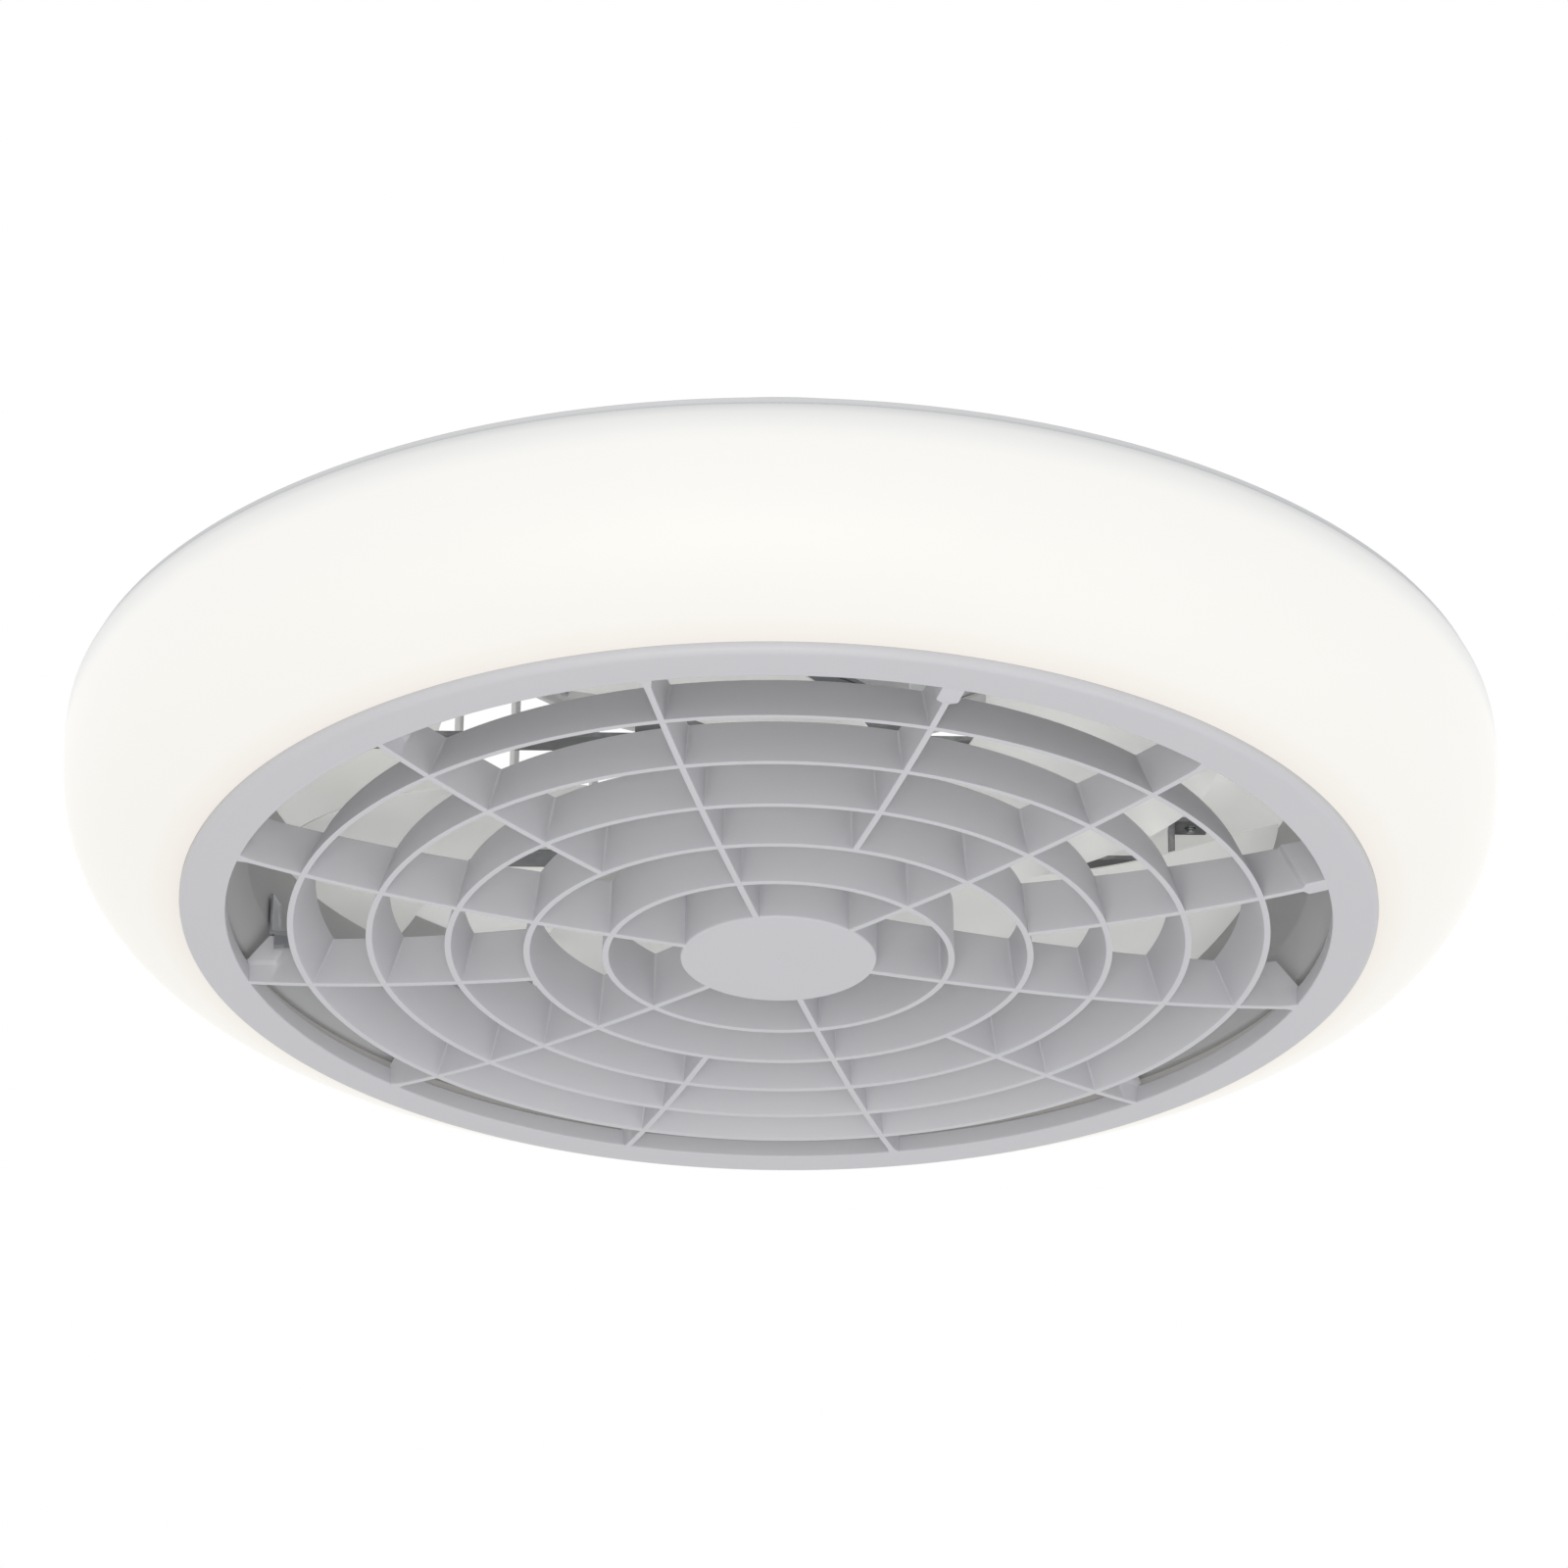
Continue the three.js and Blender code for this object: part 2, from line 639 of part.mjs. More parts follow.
// Intake cage: wall with a foot outside and a shelf inside, and windows between its uprights
function intakeCage() {
  const sides = 2 * cageUprights; // each upright and each window lies on a flat of its own
  const footTop = cageBottom + cageFlangeThickness;
  const shelfBottom = cageTop - cageFlangeThickness;
  const wall = turned(
    [
      [cageInner, cageBottom],
      [cageRadius + cageFootWidth, cageBottom],
      [cageRadius + cageFootWidth, footTop],
      [cageRadius, footTop],
      [cageRadius, cageTop],
      [cageInner - cageShelfWidth, cageTop],
      [cageInner - cageShelfWidth, shelfBottom],
      [cageInner, shelfBottom],
    ],
    sides,
  ).rotate([0, 0, firstUprightAngle]);
  const halfWindow = THREE.MathUtils.degToRad(windowPitch / 2);
  const width = 2 * cageInner * Math.sin(halfWindow) - cageUprightWidth;
  const from = cageInner * Math.cos(halfWindow) - overshoot;
  const sill = cageBottom + cageSillHeight;
  const head = cageTop - cageHeadHeight;
  const windows = evenly(cageUprights, firstUprightAngle + windowPitch / 2).map((angle) =>
    radialBlock(angle, from, cageRadius + overshoot, width, sill, head),
  );
  const holes = [
    ...cageScrewPlaces.map(([x, y]) => screwHole(x, y, cageBottom, footTop)),
    ...deckScrewPlaces.map(([x, y]) => screwHole(x, y, shelfBottom, cageTop)),
  ];
  return cut(wall, [...windows, ...holes]);
}

function topDeck() {
  const sheet = disc(cageRadius, deckBottom, deckTop, innerSides);
  const holes = deckScrewPlaces.map(([x, y]) => screwHole(x, y, deckBottom, deckTop));
  const hole = [grommetNeck + holeClearance, deckBottom - overshoot, deckTop + overshoot];
  return cut(sheet, [...holes, disc(...hole, smallSides)]);
}

// Canopy: cup wall with a turned-in foot, hung on the bracket's ears by two side screws
const sideScrewHeight = canopyTop + ceilingGap - bracketSheet - bracketEarHeight / 2;

function sideScrewHole(side) {
  const radius = screwShankRadius + 2 * holeClearance;
  const hole = new THREE.CylinderGeometry(radius, radius, sideHoleLength, screwSides);
  return solid(hole.rotateZ(Math.PI / 2).translate(side * canopyRadius, 0, sideScrewHeight));
}

function canopyShell() {
  const wall = turned(
    [
      [canopyRadius - canopyFlangeWidth, canopyBottom],
      [canopyRadius, canopyBottom],
      [canopyRadius, canopyTop],
      [canopyRadius - canopySheet, canopyTop],
      [canopyRadius - canopySheet, canopyBottom + canopySheet],
      [canopyRadius - canopyFlangeWidth, canopyBottom + canopySheet],
    ],
    innerSides,
  );
  return cut(wall, strapSides.map(sideScrewHole));
}

const earOuter = (canopyRadius - canopySheet) * Math.cos(Math.PI / innerSides) - bracketEarGap;

function ceilingBracket() {
  const top = overallHeight;
  const under = top - bracketSheet;
  const foot = under - bracketEarHeight;
  const earInner = earOuter - bracketSheet;
  const bar = bentStrip(
    [
      [-earOuter, foot],
      [-earInner, foot],
      [-earInner, under],
      [earInner, under],
      [earInner, foot],
      [earOuter, foot],
      [earOuter, top],
      [-earOuter, top],
    ],
    bracketWidth,
    0,
  );
  const from = under - overshoot;
  const to = top + overshoot;
  const straight = anchorSlotLength - anchorSlotWidth;
  const slots = strapSides.flatMap((side) => {
    const x = (side * anchorSlotSpacing) / 2;
    const low = new THREE.Vector3(x - straight / 2, -anchorSlotWidth / 2, from);
    const high = new THREE.Vector3(x + straight / 2, anchorSlotWidth / 2, to);
    const end = disc(anchorSlotWidth / 2, from, to, smallSides);
    const ends = strapSides.map((way) => end.translate([x + (way * straight) / 2, 0, 0]));
    return [block(low, high), ...ends];
  });
  const supplyHole = disc(supplyHoleRadius, from, to, smallSides).translate([supplyHoleX, 0, 0]);
  return cut(bar, [...slots, supplyHole, ...strapSides.map(sideScrewHole)]);
}

function canopyScrew(side) {
  const shankLength = canopyRadius - earOuter + bracketSheet + canopyScrewEnd;
  const form = [
    [0, -shankLength],
    [screwShankRadius, -shankLength],
    [screwShankRadius, 0],
    [screwHeadRadius, 0],
    [screwHeadRadius, screwHeadHeight],
    [0, screwHeadHeight],
  ].map(([r, z]) => new THREE.Vector2(r, z));
  const upright = new THREE.LatheGeometry(form, screwSides).rotateX(Math.PI / 2);
  const lying = upright.rotateY((side * Math.PI) / 2);
  return solid(lying.translate(side * (canopyRadius + seat), 0, sideScrewHeight));
}

// Motor cradle: two bent straps under the pan, and a plate across them
function cradleStrap(side) {
  const footTop = panBottom - seat;
  const outer = strapReach;
  const tip = outer + strapFootLength;
  const under = strapTop - strapSheet;
  const strip = bentStrip(
    [
      [-outer, under],
      [outer, under],
      [outer, footTop - strapSheet],
      [tip, footTop - strapSheet],
      [tip, footTop],
      [outer - strapSheet, footTop],
      [outer - strapSheet, strapTop],
      [-outer + strapSheet, strapTop],
      [-outer + strapSheet, footTop],
      [-tip, footTop],
      [-tip, footTop - strapSheet],
      [-outer, footTop - strapSheet],
    ],
    strapWidth,
    (side * strapSpacing) / 2,
  );
  const holes = [
    ...cradleScrewPlaces.map(([x, y]) => screwHole(x, y, footTop - strapSheet, footTop)),
    ...plateScrewPlaces.map(([x, y]) => screwHole(x, y, under, strapTop)),
  ];
  return cut(strip, holes);
}

function motorPlate() {
  const low = new THREE.Vector3(-plateBreadth / 2, -plateLength / 2, plateBottom);
  const high = new THREE.Vector3(plateBreadth / 2, plateLength / 2, plateTop);
  const places = [...plateScrewPlaces, ...motorScrewPlaces];
  const holes = places.map(([x, y]) => screwHole(x, y, plateBottom, plateTop));
  const shaftHole = [shaftRadius + plateHoleGap, plateBottom - overshoot, plateTop + overshoot];
  return cut(block(low, high), [...holes, disc(...shaftHole, smallSides)]);
}

// A round pocket or bore drawn so that its flats, not its corners, keep the clearance
const boreFor = (radius, clearance, sides) => (radius + clearance) / Math.cos(Math.PI / sides);
const pocketRadius = boreFor(bearingRadius, seat, smallSides);
const shaftHoleRadius = shaftRadius + canHoleGap;

function motorCan() {
  const floor = canBottom + canWall;
  const bossTop = floor + bearingHeight;
  const cup = turned(
    [
      [shaftHoleRadius, canBottom],
      [canRadius, canBottom],
      [canRadius, canTop],
      [canRadius - canWall, canTop],
      [canRadius - canWall, floor],
      [pocketRadius + bossWall, floor],
      [pocketRadius + bossWall, bossTop],
      [pocketRadius, bossTop],
      [pocketRadius, floor],
      [shaftHoleRadius, floor],
    ],
    smallSides,
  );
  return cut(cup, motorScrewPlaces.map(([x, y]) => screwHole(x, y, canBottom, floor)));
}

const capBottom = canTop + seat;

function motorEndCap() {
  const lid = capBottom + bearingHeight + seat;
  const cap = turned(
    [
      [pocketRadius, capBottom],
      [canRadius, capBottom],
      [canRadius, capBottom + canWall],
      [pocketRadius + bossWall, capBottom + canWall],
      [pocketRadius + bossWall, lid + canWall],
      [0, lid + canWall],
      [0, lid],
      [pocketRadius, lid],
    ],
    smallSides,
  );
  return cut(cap, [leadHole(0, motorLeadY, capBottom, capBottom + canWall)]);
}

function bearing(bottom) {
  const bore = boreFor(shaftRadius, runningClearance, smallSides);
  return tube(bore, bearingRadius, bottom, bottom + bearingHeight, smallSides);
}

const windowMiddle = (canBottom + canWall + bearingHeight + canTop) / 2;
const statorOuter = (canRadius - canWall) * Math.cos(Math.PI / smallSides) - seat;

function statorCore() {
  const inner = boreFor(magnetRadius, airGap, smallSides);
  const bottom = windowMiddle - statorHeight / 2;
  const top = windowMiddle + statorHeight / 2;
  const ring = tube(inner, statorOuter, bottom, top, smallSides);
  const from = inner + toothTip;
  const slots = evenly(slotCount, 0).map((angle) =>
    radialBlock(angle, from, from + slotDepth, slotWidth, windowMiddle, top + overshoot),
  );
  return cut(ring, slots);
}

function magnetRotor() {
  const bore = boreFor(shaftRadius, seat, smallSides);
  const bottom = windowMiddle - magnetHeight / 2;
  return tube(bore, magnetRadius, bottom, bottom + magnetHeight, smallSides);
}

const shaftTop = capBottom + bearingHeight - shaftEndGap;
const shaftBottom = plateBottom - shaftBelowPlate;

// Impeller: cup-shaped hub with broad swept blades
function bladePoint(angle, share, across, thickness) {
  const root = hubRadius - hubWall / 2;
  const r = root + (bladeTipRadius - root) * share;
  const rootShare = bladeRootShare + (1 - bladeRootShare) * Math.min(1, share / bladeFullFrom);
  const rounding = Math.max(0, (share - bladeRoundFrom) / (1 - bladeRoundFrom));
  const tipShare = 1 - bladeTipCut * rounding ** 2;
  const turn = angle + bladeSweep * (bladeTipRadius - r) + bladeSpan * across * rootShare * tipShare;
  const middle = hubBottom + (hubHeight - bladeThickness) / 2;
  const height = middle - (bladeRise - bladeThickness) * across * rootShare;
  const crown = bladeCamber * (1 - (2 * across) ** 2) * Math.min(1, 2 * share);
  return [...around(turn, r), height + crown + thickness];
}

// Two layers of points, upper and lower, closed along their four edges
function blade(angle) {
  const steps = bladeSteps;
  const positions = [];
  for (const thickness of [bladeThickness, 0]) {
    for (let i = 0; i <= steps.along; i++) {
      for (let j = 0; j <= steps.across; j++) {
        positions.push(...bladePoint(angle, i / steps.along, j / steps.across - 0.5, thickness));
      }
    }
  }
  const row = steps.across + 1;
  const layer = row * (steps.along + 1);
  const at = (side, i, j) => (side ? 0 : layer) + i * row + j;
  const index = [];
  const quad = (a, b, c, d) => index.push(a, b, c, a, c, d);
  for (let i = 0; i < steps.along; i++) {
    for (let j = 0; j < steps.across; j++) {
      quad(at(1, i, j), at(1, i + 1, j), at(1, i + 1, j + 1), at(1, i, j + 1));
      quad(at(0, i, j), at(0, i, j + 1), at(0, i + 1, j + 1), at(0, i + 1, j));
    }
    quad(at(1, i + 1, 0), at(1, i, 0), at(0, i, 0), at(0, i + 1, 0));
    quad(at(1, i, row - 1), at(1, i + 1, row - 1), at(0, i + 1, row - 1), at(0, i, row - 1));
  }
  for (let j = 0; j < steps.across; j++) {
    quad(at(1, 0, j), at(1, 0, j + 1), at(0, 0, j + 1), at(0, 0, j));
    quad(at(1, steps.along, j + 1), at(1, steps.along, j), at(0, steps.along, j), at(0, steps.along, j + 1));
  }
  const geometry = new THREE.BufferGeometry();
  geometry.setAttribute("position", new THREE.Float32BufferAttribute(positions, 3));
  geometry.setIndex(index);
  return solid(geometry);
}

function impeller() {
  const bore = boreFor(shaftRadius, seat, smallSides);
  const boss = bore + hubBossWall;
  const hub = turned(
    [
      [bore, hubBottom],
      [hubRadius - hubEdge, hubBottom],
      [hubRadius, hubBottom + hubEdge],
      [hubRadius, hubTop],
      [hubRadius - hubWall, hubTop],
      [hubRadius - hubWall, hubBottom + hubWall],
      [boss, hubBottom + hubWall],
      [boss, hubTop],
      [bore, hubTop],
    ],
    innerSides,
  );
  return join([hub, ...evenly(bladeCount, firstBladeAngle).map(blade)]);
}

const washerTop = hubBottom - seat;
const washerBottom = washerTop - washerThickness;
const nutTop = washerBottom - seat;

function hubWasher() {
  const bore = boreFor(shaftRadius, seat, smallSides);
  return tube(bore, washerRadius, washerBottom, washerTop, smallSides);
}

function spinnerNut() {
  const bore = boreFor(shaftRadius, seat, smallSides);
  const ring = tube(bore, nutRadius, nutTop - nutHeight, nutTop, smallSides);
  const flats = new THREE.CylinderGeometry(nutRadius, nutRadius, nutHeight, hexSides);
  return ring.intersect(solid(flats.rotateX(Math.PI / 2).translate(0, 0, nutTop - nutHeight / 2)));
}

// Electronics hang under the deck, and the terminal block stands on it
function hungBox(size, middleY) {
  const top = deckBottom - seat;
  const low = new THREE.Vector3(-size.x / 2, middleY - size.y / 2, top - size.z);
  return block(low, new THREE.Vector3(size.x / 2, middleY + size.y / 2, top));
}

const driverY = electronicsSpacing / 2;
const controllerY = -electronicsSpacing / 2;

function terminalBlock() {
  const { x, y, z } = terminalSize;
  const front = terminalY - y / 2;
  const low = new THREE.Vector3(-x / 2, front, canopyBottom);
  const high = new THREE.Vector3(x / 2, front + y, canopyBottom + z);
  const wireHoles = [-1, 0, 1].map((pole) => {
    const hole = new THREE.CylinderGeometry(wireHoleRadius, wireHoleRadius, y / 2, screwSides);
    return solid(hole.translate(pole * terminalPitch, front, canopyBottom + z / 2));
  });
  return cut(block(low, high), wireHoles);
}

function cableGrommet() {
  return turned(
    [
      [grommetBore, deckBottom - grommetLip],
      [grommetNeck, deckBottom - grommetLip],
      [grommetNeck, deckTop + seat],
      [grommetRadius, deckTop + seat],
      [grommetRadius, deckTop + grommetLip],
      [grommetBore, deckTop + grommetLip],
    ],
    smallSides,
  );
}

function cable(points) {
  const path = new THREE.CatmullRomCurve3(points.map((p) => new THREE.Vector3(...p)));
  const corners = ringOf(cableSides, 0, cableRadius).map((p) => new THREE.Vector2(...p));
  const route = { steps: cableSteps, bevelEnabled: false, extrudePath: path };
  return solid(new THREE.ExtrudeGeometry(new THREE.Shape(corners), route));
}

function motorLead() {
  const [x, y] = [0, motorLeadY];
  return cable([
    [x, y, capBottom + seat],
    [x, y, capBottom + 12],
    [x - 4, y + 10, capBottom + 26],
    [x, 0, deckBottom - 18],
    [x, 0, deckBottom - 4],
    [x, 0, deckTop + 6],
  ]);
}

function lampLead() {
  const [x, y] = lampLeadHole;
  const [sillX, sillY] = around(lampLeadAngle, cageRadius + 6);
  const [insideX, insideY] = around(lampLeadAngle, cageRadius - 20);
  const sill = cageBottom + cageSillHeight + cableRadius + 2;
  return cable([
    [x, y, panBottom + seat],
    [x, y, panTop + 4],
    [x + 12, y + 1, panTop + 7],
    [sillX - 26, sillY - 1, panTop + 8],
    [sillX - 4, sillY, sill],
    [insideX, insideY, sill + 6],
    [-driverSize.x / 2 - 26, driverY - 8, deckBottom - 20],
    [-driverSize.x / 2 - 8, driverY, deckBottom - 14],
    [-driverSize.x / 2 - 1, driverY, deckBottom - 14],
  ]);
}

addPiece("ceiling_bracket", ceilingBracket(), zincSteel);
addPiece("canopy_shell", canopyShell(), whitePaint);
addPiece("canopy_screw_1", canopyScrew(1), zincSteel);
addPiece("canopy_screw_2", canopyScrew(-1), zincSteel);
addPiece("top_deck", topDeck(), whitePaint);
addScrews("deck_screw", deckScrewPlaces, deckTop + seat, sheetScrewLength);
addPiece("intake_cage", intakeCage(), whitePlastic);
const cageFootTop = cageBottom + cageFlangeThickness;
addScrews("cage_screw", cageScrewPlaces, cageFootTop + seat, flangeScrewLength);
addPiece("chassis_pan", chassisPan(), whitePaint);
addScrews("duct_screw", ductScrewPlaces, panTop + seat, sheetScrewLength);
addPiece("air_duct", airDuct(), whitePlastic);
addPiece("led_board", lampBoard(), boardWhite);
addPiece("light_shade", lightShade(), opalAcrylic);
addScrews("shade_screw", shadeScrewPlaces, shadeLipBottom - seat, flangeScrewLength, true);
addPiece("cradle_strap_front", cradleStrap(-1), darkSteel);
addPiece("cradle_strap_rear", cradleStrap(1), darkSteel);
addScrews("cradle_screw", cradleScrewPlaces, panTop + seat, sheetScrewLength);
addPiece("motor_plate", motorPlate(), darkSteel);
addScrews("plate_screw", plateScrewPlaces, plateTop + seat, sheetScrewLength);
addPiece("motor_can", motorCan(), motorPaint);
addScrews("motor_screw", motorScrewPlaces, plateBottom - seat, sheetScrewLength, true);
addPiece("stator_core", statorCore(), copper);
addPiece("motor_end_cap", motorEndCap(), motorPaint);
addPiece("lower_bearing", bearing(canBottom + canWall + seat), zincSteel);
addPiece("upper_bearing", bearing(capBottom), zincSteel);
addPiece("motor_shaft", disc(shaftRadius, shaftBottom, shaftTop, smallSides), zincSteel);
addPiece("magnet_rotor", magnetRotor(), magnet);
addPiece("impeller", impeller(), paleBlade);
addPiece("hub_washer", hubWasher(), zincSteel);
addPiece("spinner_nut", spinnerNut(), zincSteel);
addPiece("grille", grille(), greyPlastic);
const bossAngles = evenly(spokePairs, shortSpokeAngle);
const clipAngles = bossAngles.filter((_, i) => i % clipPitch === 0);
clipAngles.forEach((angle, i) => addPiece("grille_clip_" + (i + 1), grilleClip(angle), zincSteel));
addPiece("led_driver", hungBox(driverSize, driverY), boxPlastic);
addPiece("fan_controller", hungBox(controllerSize, controllerY), boxPlastic);
addPiece("terminal_block", terminalBlock(), whitePlastic);
addPiece("cable_grommet", cableGrommet(), rubber);
addPiece("motor_lead", motorLead(), rubber);
addPiece("lamp_lead", lampLead(), rubber);

export default fan;
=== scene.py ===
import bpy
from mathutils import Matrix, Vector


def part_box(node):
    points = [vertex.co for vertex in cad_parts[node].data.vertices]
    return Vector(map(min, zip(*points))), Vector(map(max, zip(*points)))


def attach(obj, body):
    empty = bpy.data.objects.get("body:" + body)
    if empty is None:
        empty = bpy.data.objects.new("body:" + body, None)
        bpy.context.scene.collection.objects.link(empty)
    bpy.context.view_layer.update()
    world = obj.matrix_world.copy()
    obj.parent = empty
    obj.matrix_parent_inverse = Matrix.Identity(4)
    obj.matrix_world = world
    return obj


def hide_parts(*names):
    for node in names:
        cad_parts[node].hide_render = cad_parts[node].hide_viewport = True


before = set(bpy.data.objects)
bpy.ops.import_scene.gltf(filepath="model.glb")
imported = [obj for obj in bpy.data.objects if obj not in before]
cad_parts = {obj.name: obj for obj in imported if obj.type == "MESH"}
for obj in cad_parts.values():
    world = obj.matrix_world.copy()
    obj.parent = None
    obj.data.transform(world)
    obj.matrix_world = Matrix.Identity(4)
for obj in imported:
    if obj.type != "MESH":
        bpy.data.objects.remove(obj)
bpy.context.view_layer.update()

import math

import bmesh
import bpy
from mathutils import Matrix, Vector

# ----------------------------------------------------------
# The view. The fan hangs over a pale floor and is looked up at through a long lens, from in front
# and well below. Light comes softly from all round, and more of it from below.
LENS = 145.93
EYE = Vector((0, -2.186, -1.2212))
LOOK = Vector((0.0006, 0.8911, 0.4538)).normalized()
RIGHT = Vector((0.9999, -0.0053, 0.0091)).normalized()
FLOOR_HEIGHT = -2.4
FLOOR_SIZE = 14
FLOOR_TONES = (0.84, 0.87)
AMBIENT = 0.82
WHITE = (1, 1, 1, 1)
LAMPS = [
    # place, size, power, colour
    (Vector((-0.3, -2.3, -1.9)), 1.6, 27, (1.0, 0.985, 0.97)),
    (Vector((1.2, -0.2, -2.2)), 1.8, 9, (0.95, 0.975, 1.0)),
]


def show(name, data):
    """New object in the scene."""
    made = bpy.data.objects.new(name, data)
    bpy.context.scene.collection.objects.link(made)
    return made


camera = show("camera", bpy.data.cameras.new("camera"))
camera.data.lens = LENS
camera.data.sensor_width = 36
camera.data.clip_end = 50
camera.matrix_world = Matrix((RIGHT, RIGHT.cross(LOOK), -LOOK)).transposed().to_4x4()
camera.matrix_world.translation = EYE
bpy.context.scene.camera = camera
bpy.context.scene.view_settings.view_transform = "Standard"


def feed(tree, inputs, values):
    """Gives inputs, by name or number, their values, or links them where a value is a socket."""
    for key, value in values.items():
        socket = inputs[key.replace("_", " ") if isinstance(key, str) else key]
        if isinstance(value, bpy.types.NodeSocket):
            tree.links.new(value, socket)
        else:
            socket.default_value = value


def add_node(tree, kind, **inputs):
    """New shader node, with some of its inputs given by name."""
    made = tree.nodes.new(kind)
    feed(tree, made.inputs, inputs)
    return made


def add_math(tree, operation, *values):
    """Math node; returns its result."""
    made = tree.nodes.new("ShaderNodeMath")
    made.operation = operation
    feed(tree, made.inputs, dict(enumerate(values)))
    return made.outputs[0]


world = bpy.data.worlds.new("studio")
world.use_nodes = True
sky = world.node_tree
sky.nodes.clear()
rays = sky.nodes.new("ShaderNodeLightPath").outputs
seen = add_math(sky, "MAXIMUM", rays["Is Camera Ray"], rays["Is Glossy Ray"])
seen = add_math(sky, "MAXIMUM", seen, rays["Is Transmission Ray"])
strength = add_math(sky, "MULTIPLY_ADD", seen, 1 - AMBIENT, AMBIENT)
background = add_node(sky, "ShaderNodeBackground", Color=WHITE, Strength=strength)
add_node(sky, "ShaderNodeOutputWorld", Surface=background.outputs[0])
bpy.context.scene.world = world

for place, size, power, color in LAMPS:
    lamp = show("soft_lamp", bpy.data.lights.new("soft_lamp", "AREA"))
    lamp.data.size = size
    lamp.data.energy = power
    lamp.data.color = color
    lamp.location = place
    lamp.rotation_euler = (-place).to_track_quat("-Z", "Y").to_euler()


def new_material(name):
    """Node material; returns it with its tree and the inputs of its principled shader."""
    material = bpy.data.materials.new(name)
    material.use_nodes = True
    return material, material.node_tree, material.node_tree.nodes["Principled BSDF"].inputs


def noise(tree, scale, detail, **inputs):
    """Smooth noise; returns its value."""
    return add_node(tree, "ShaderNodeTexNoise", Scale=scale, Detail=detail, **inputs).outputs[0]


floor_paint, floor_tree, floor_inputs = new_material("floor_paint")
floor_tones = {"To_Min": FLOOR_TONES[0], "To_Max": FLOOR_TONES[1]}
floor_tone = add_node(floor_tree, "ShaderNodeMapRange", Value=noise(floor_tree, 0.8, 2.0), **floor_tones)
feed(floor_tree, floor_inputs, {"Base Color": floor_tone.outputs[0], "Roughness": 0.9})
floor_shape = bmesh.new()
bmesh.ops.create_grid(floor_shape, x_segments=4, y_segments=4, size=FLOOR_SIZE / 2)
floor_mesh = bpy.data.meshes.new("floor")
floor_shape.to_mesh(floor_mesh)
floor_shape.free()
floor_mesh.materials.append(floor_paint)
floor = show("floor", floor_mesh)
floor.location.z = FLOOR_HEIGHT

# ----------------------------------------------------------
# Ceiling bracket. A crossbar of zinc-plated sheet steel with two slots for the anchors, a hole for
# the supply cable and an ear at each end, cut and folded from strip.
MM = 0.001  # every later size is given in millimetres
ZINC = (0.60, 0.61, 0.63, 1)
ZINC_DARK = (0.42, 0.43, 0.46, 1)
BARE_STEEL = (0.78, 0.78, 0.79, 1)
SHEET_EDGE = 0.25 * MM
BROKEN_ABOVE = 40  # edges that turn by more degrees than this are broken


def new_effect(name, takes, gives):
    """Empty node group. takes gives each input's type and usual value, and gives each output's type."""
    tree = bpy.data.node_groups.new(name, "ShaderNodeTree")
    for socket_name, (kind, value) in takes.items():
        tree.interface.new_socket(socket_name, in_out="INPUT", socket_type=kind).default_value = value
    for socket_name, kind in gives.items():
        tree.interface.new_socket(socket_name, in_out="OUTPUT", socket_type=kind)
    return tree, tree.nodes.new("NodeGroupInput").outputs, tree.nodes.new("NodeGroupOutput").inputs


def use_effect(tree, effect, **inputs):
    """Places a node group in a material with its own values; returns its outputs."""
    made = tree.nodes.new("ShaderNodeGroup")
    made.node_tree = effect
    feed(tree, made.inputs, inputs)
    return made.outputs


def mix_colors(tree, blend, factor, first, second):
    """Color mix node; returns its result."""
    made = tree.nodes.new("ShaderNodeMix")
    made.data_type = "RGBA"
    made.blend_type = blend
    feed(tree, made.inputs, {0: factor, 6: first, 7: second})
    return made.outputs[2]


def on_object(tree):
    """Places on the object itself, in metres."""
    return add_node(tree, "ShaderNodeTexCoord").outputs["Object"]


def between(tree, value, low, high, least=0.0):
    """Rises from least to 1 while the value goes from low to high."""
    return add_node(
        tree, "ShaderNodeMapRange", Value=value, From_Min=low, From_Max=high, To_Min=least
    ).outputs[0]


COLOR, NUMBER = "NodeSocketColor", "NodeSocketFloat"

# Light wear along outside edges
edge_wear, wear_in, wear_out = new_effect(
    "edge_wear",
    {"Color": (COLOR, WHITE), "Bare": (COLOR, WHITE), "Amount": (NUMBER, 0.5)},
    {"Color": COLOR},
)
wear_edges = add_node(edge_wear, "ShaderNodeNewGeometry").outputs["Pointiness"]
wear_edges = between(edge_wear, wear_edges, 0.52, 0.62)
wear_patches = noise(edge_wear, 160.0, 4.0, Vector=on_object(edge_wear))
wear_patches = between(edge_wear, wear_patches, 0.42, 0.66)
wear_mask = add_math(edge_wear, "MULTIPLY", wear_edges, wear_patches)
wear_mask = add_math(edge_wear, "MULTIPLY", wear_mask, wear_in["Amount"])
wear_color = mix_colors(edge_wear, "MIX", wear_mask, wear_in["Color"], wear_in["Bare"])
feed(edge_wear, wear_out, {"Color": wear_color})

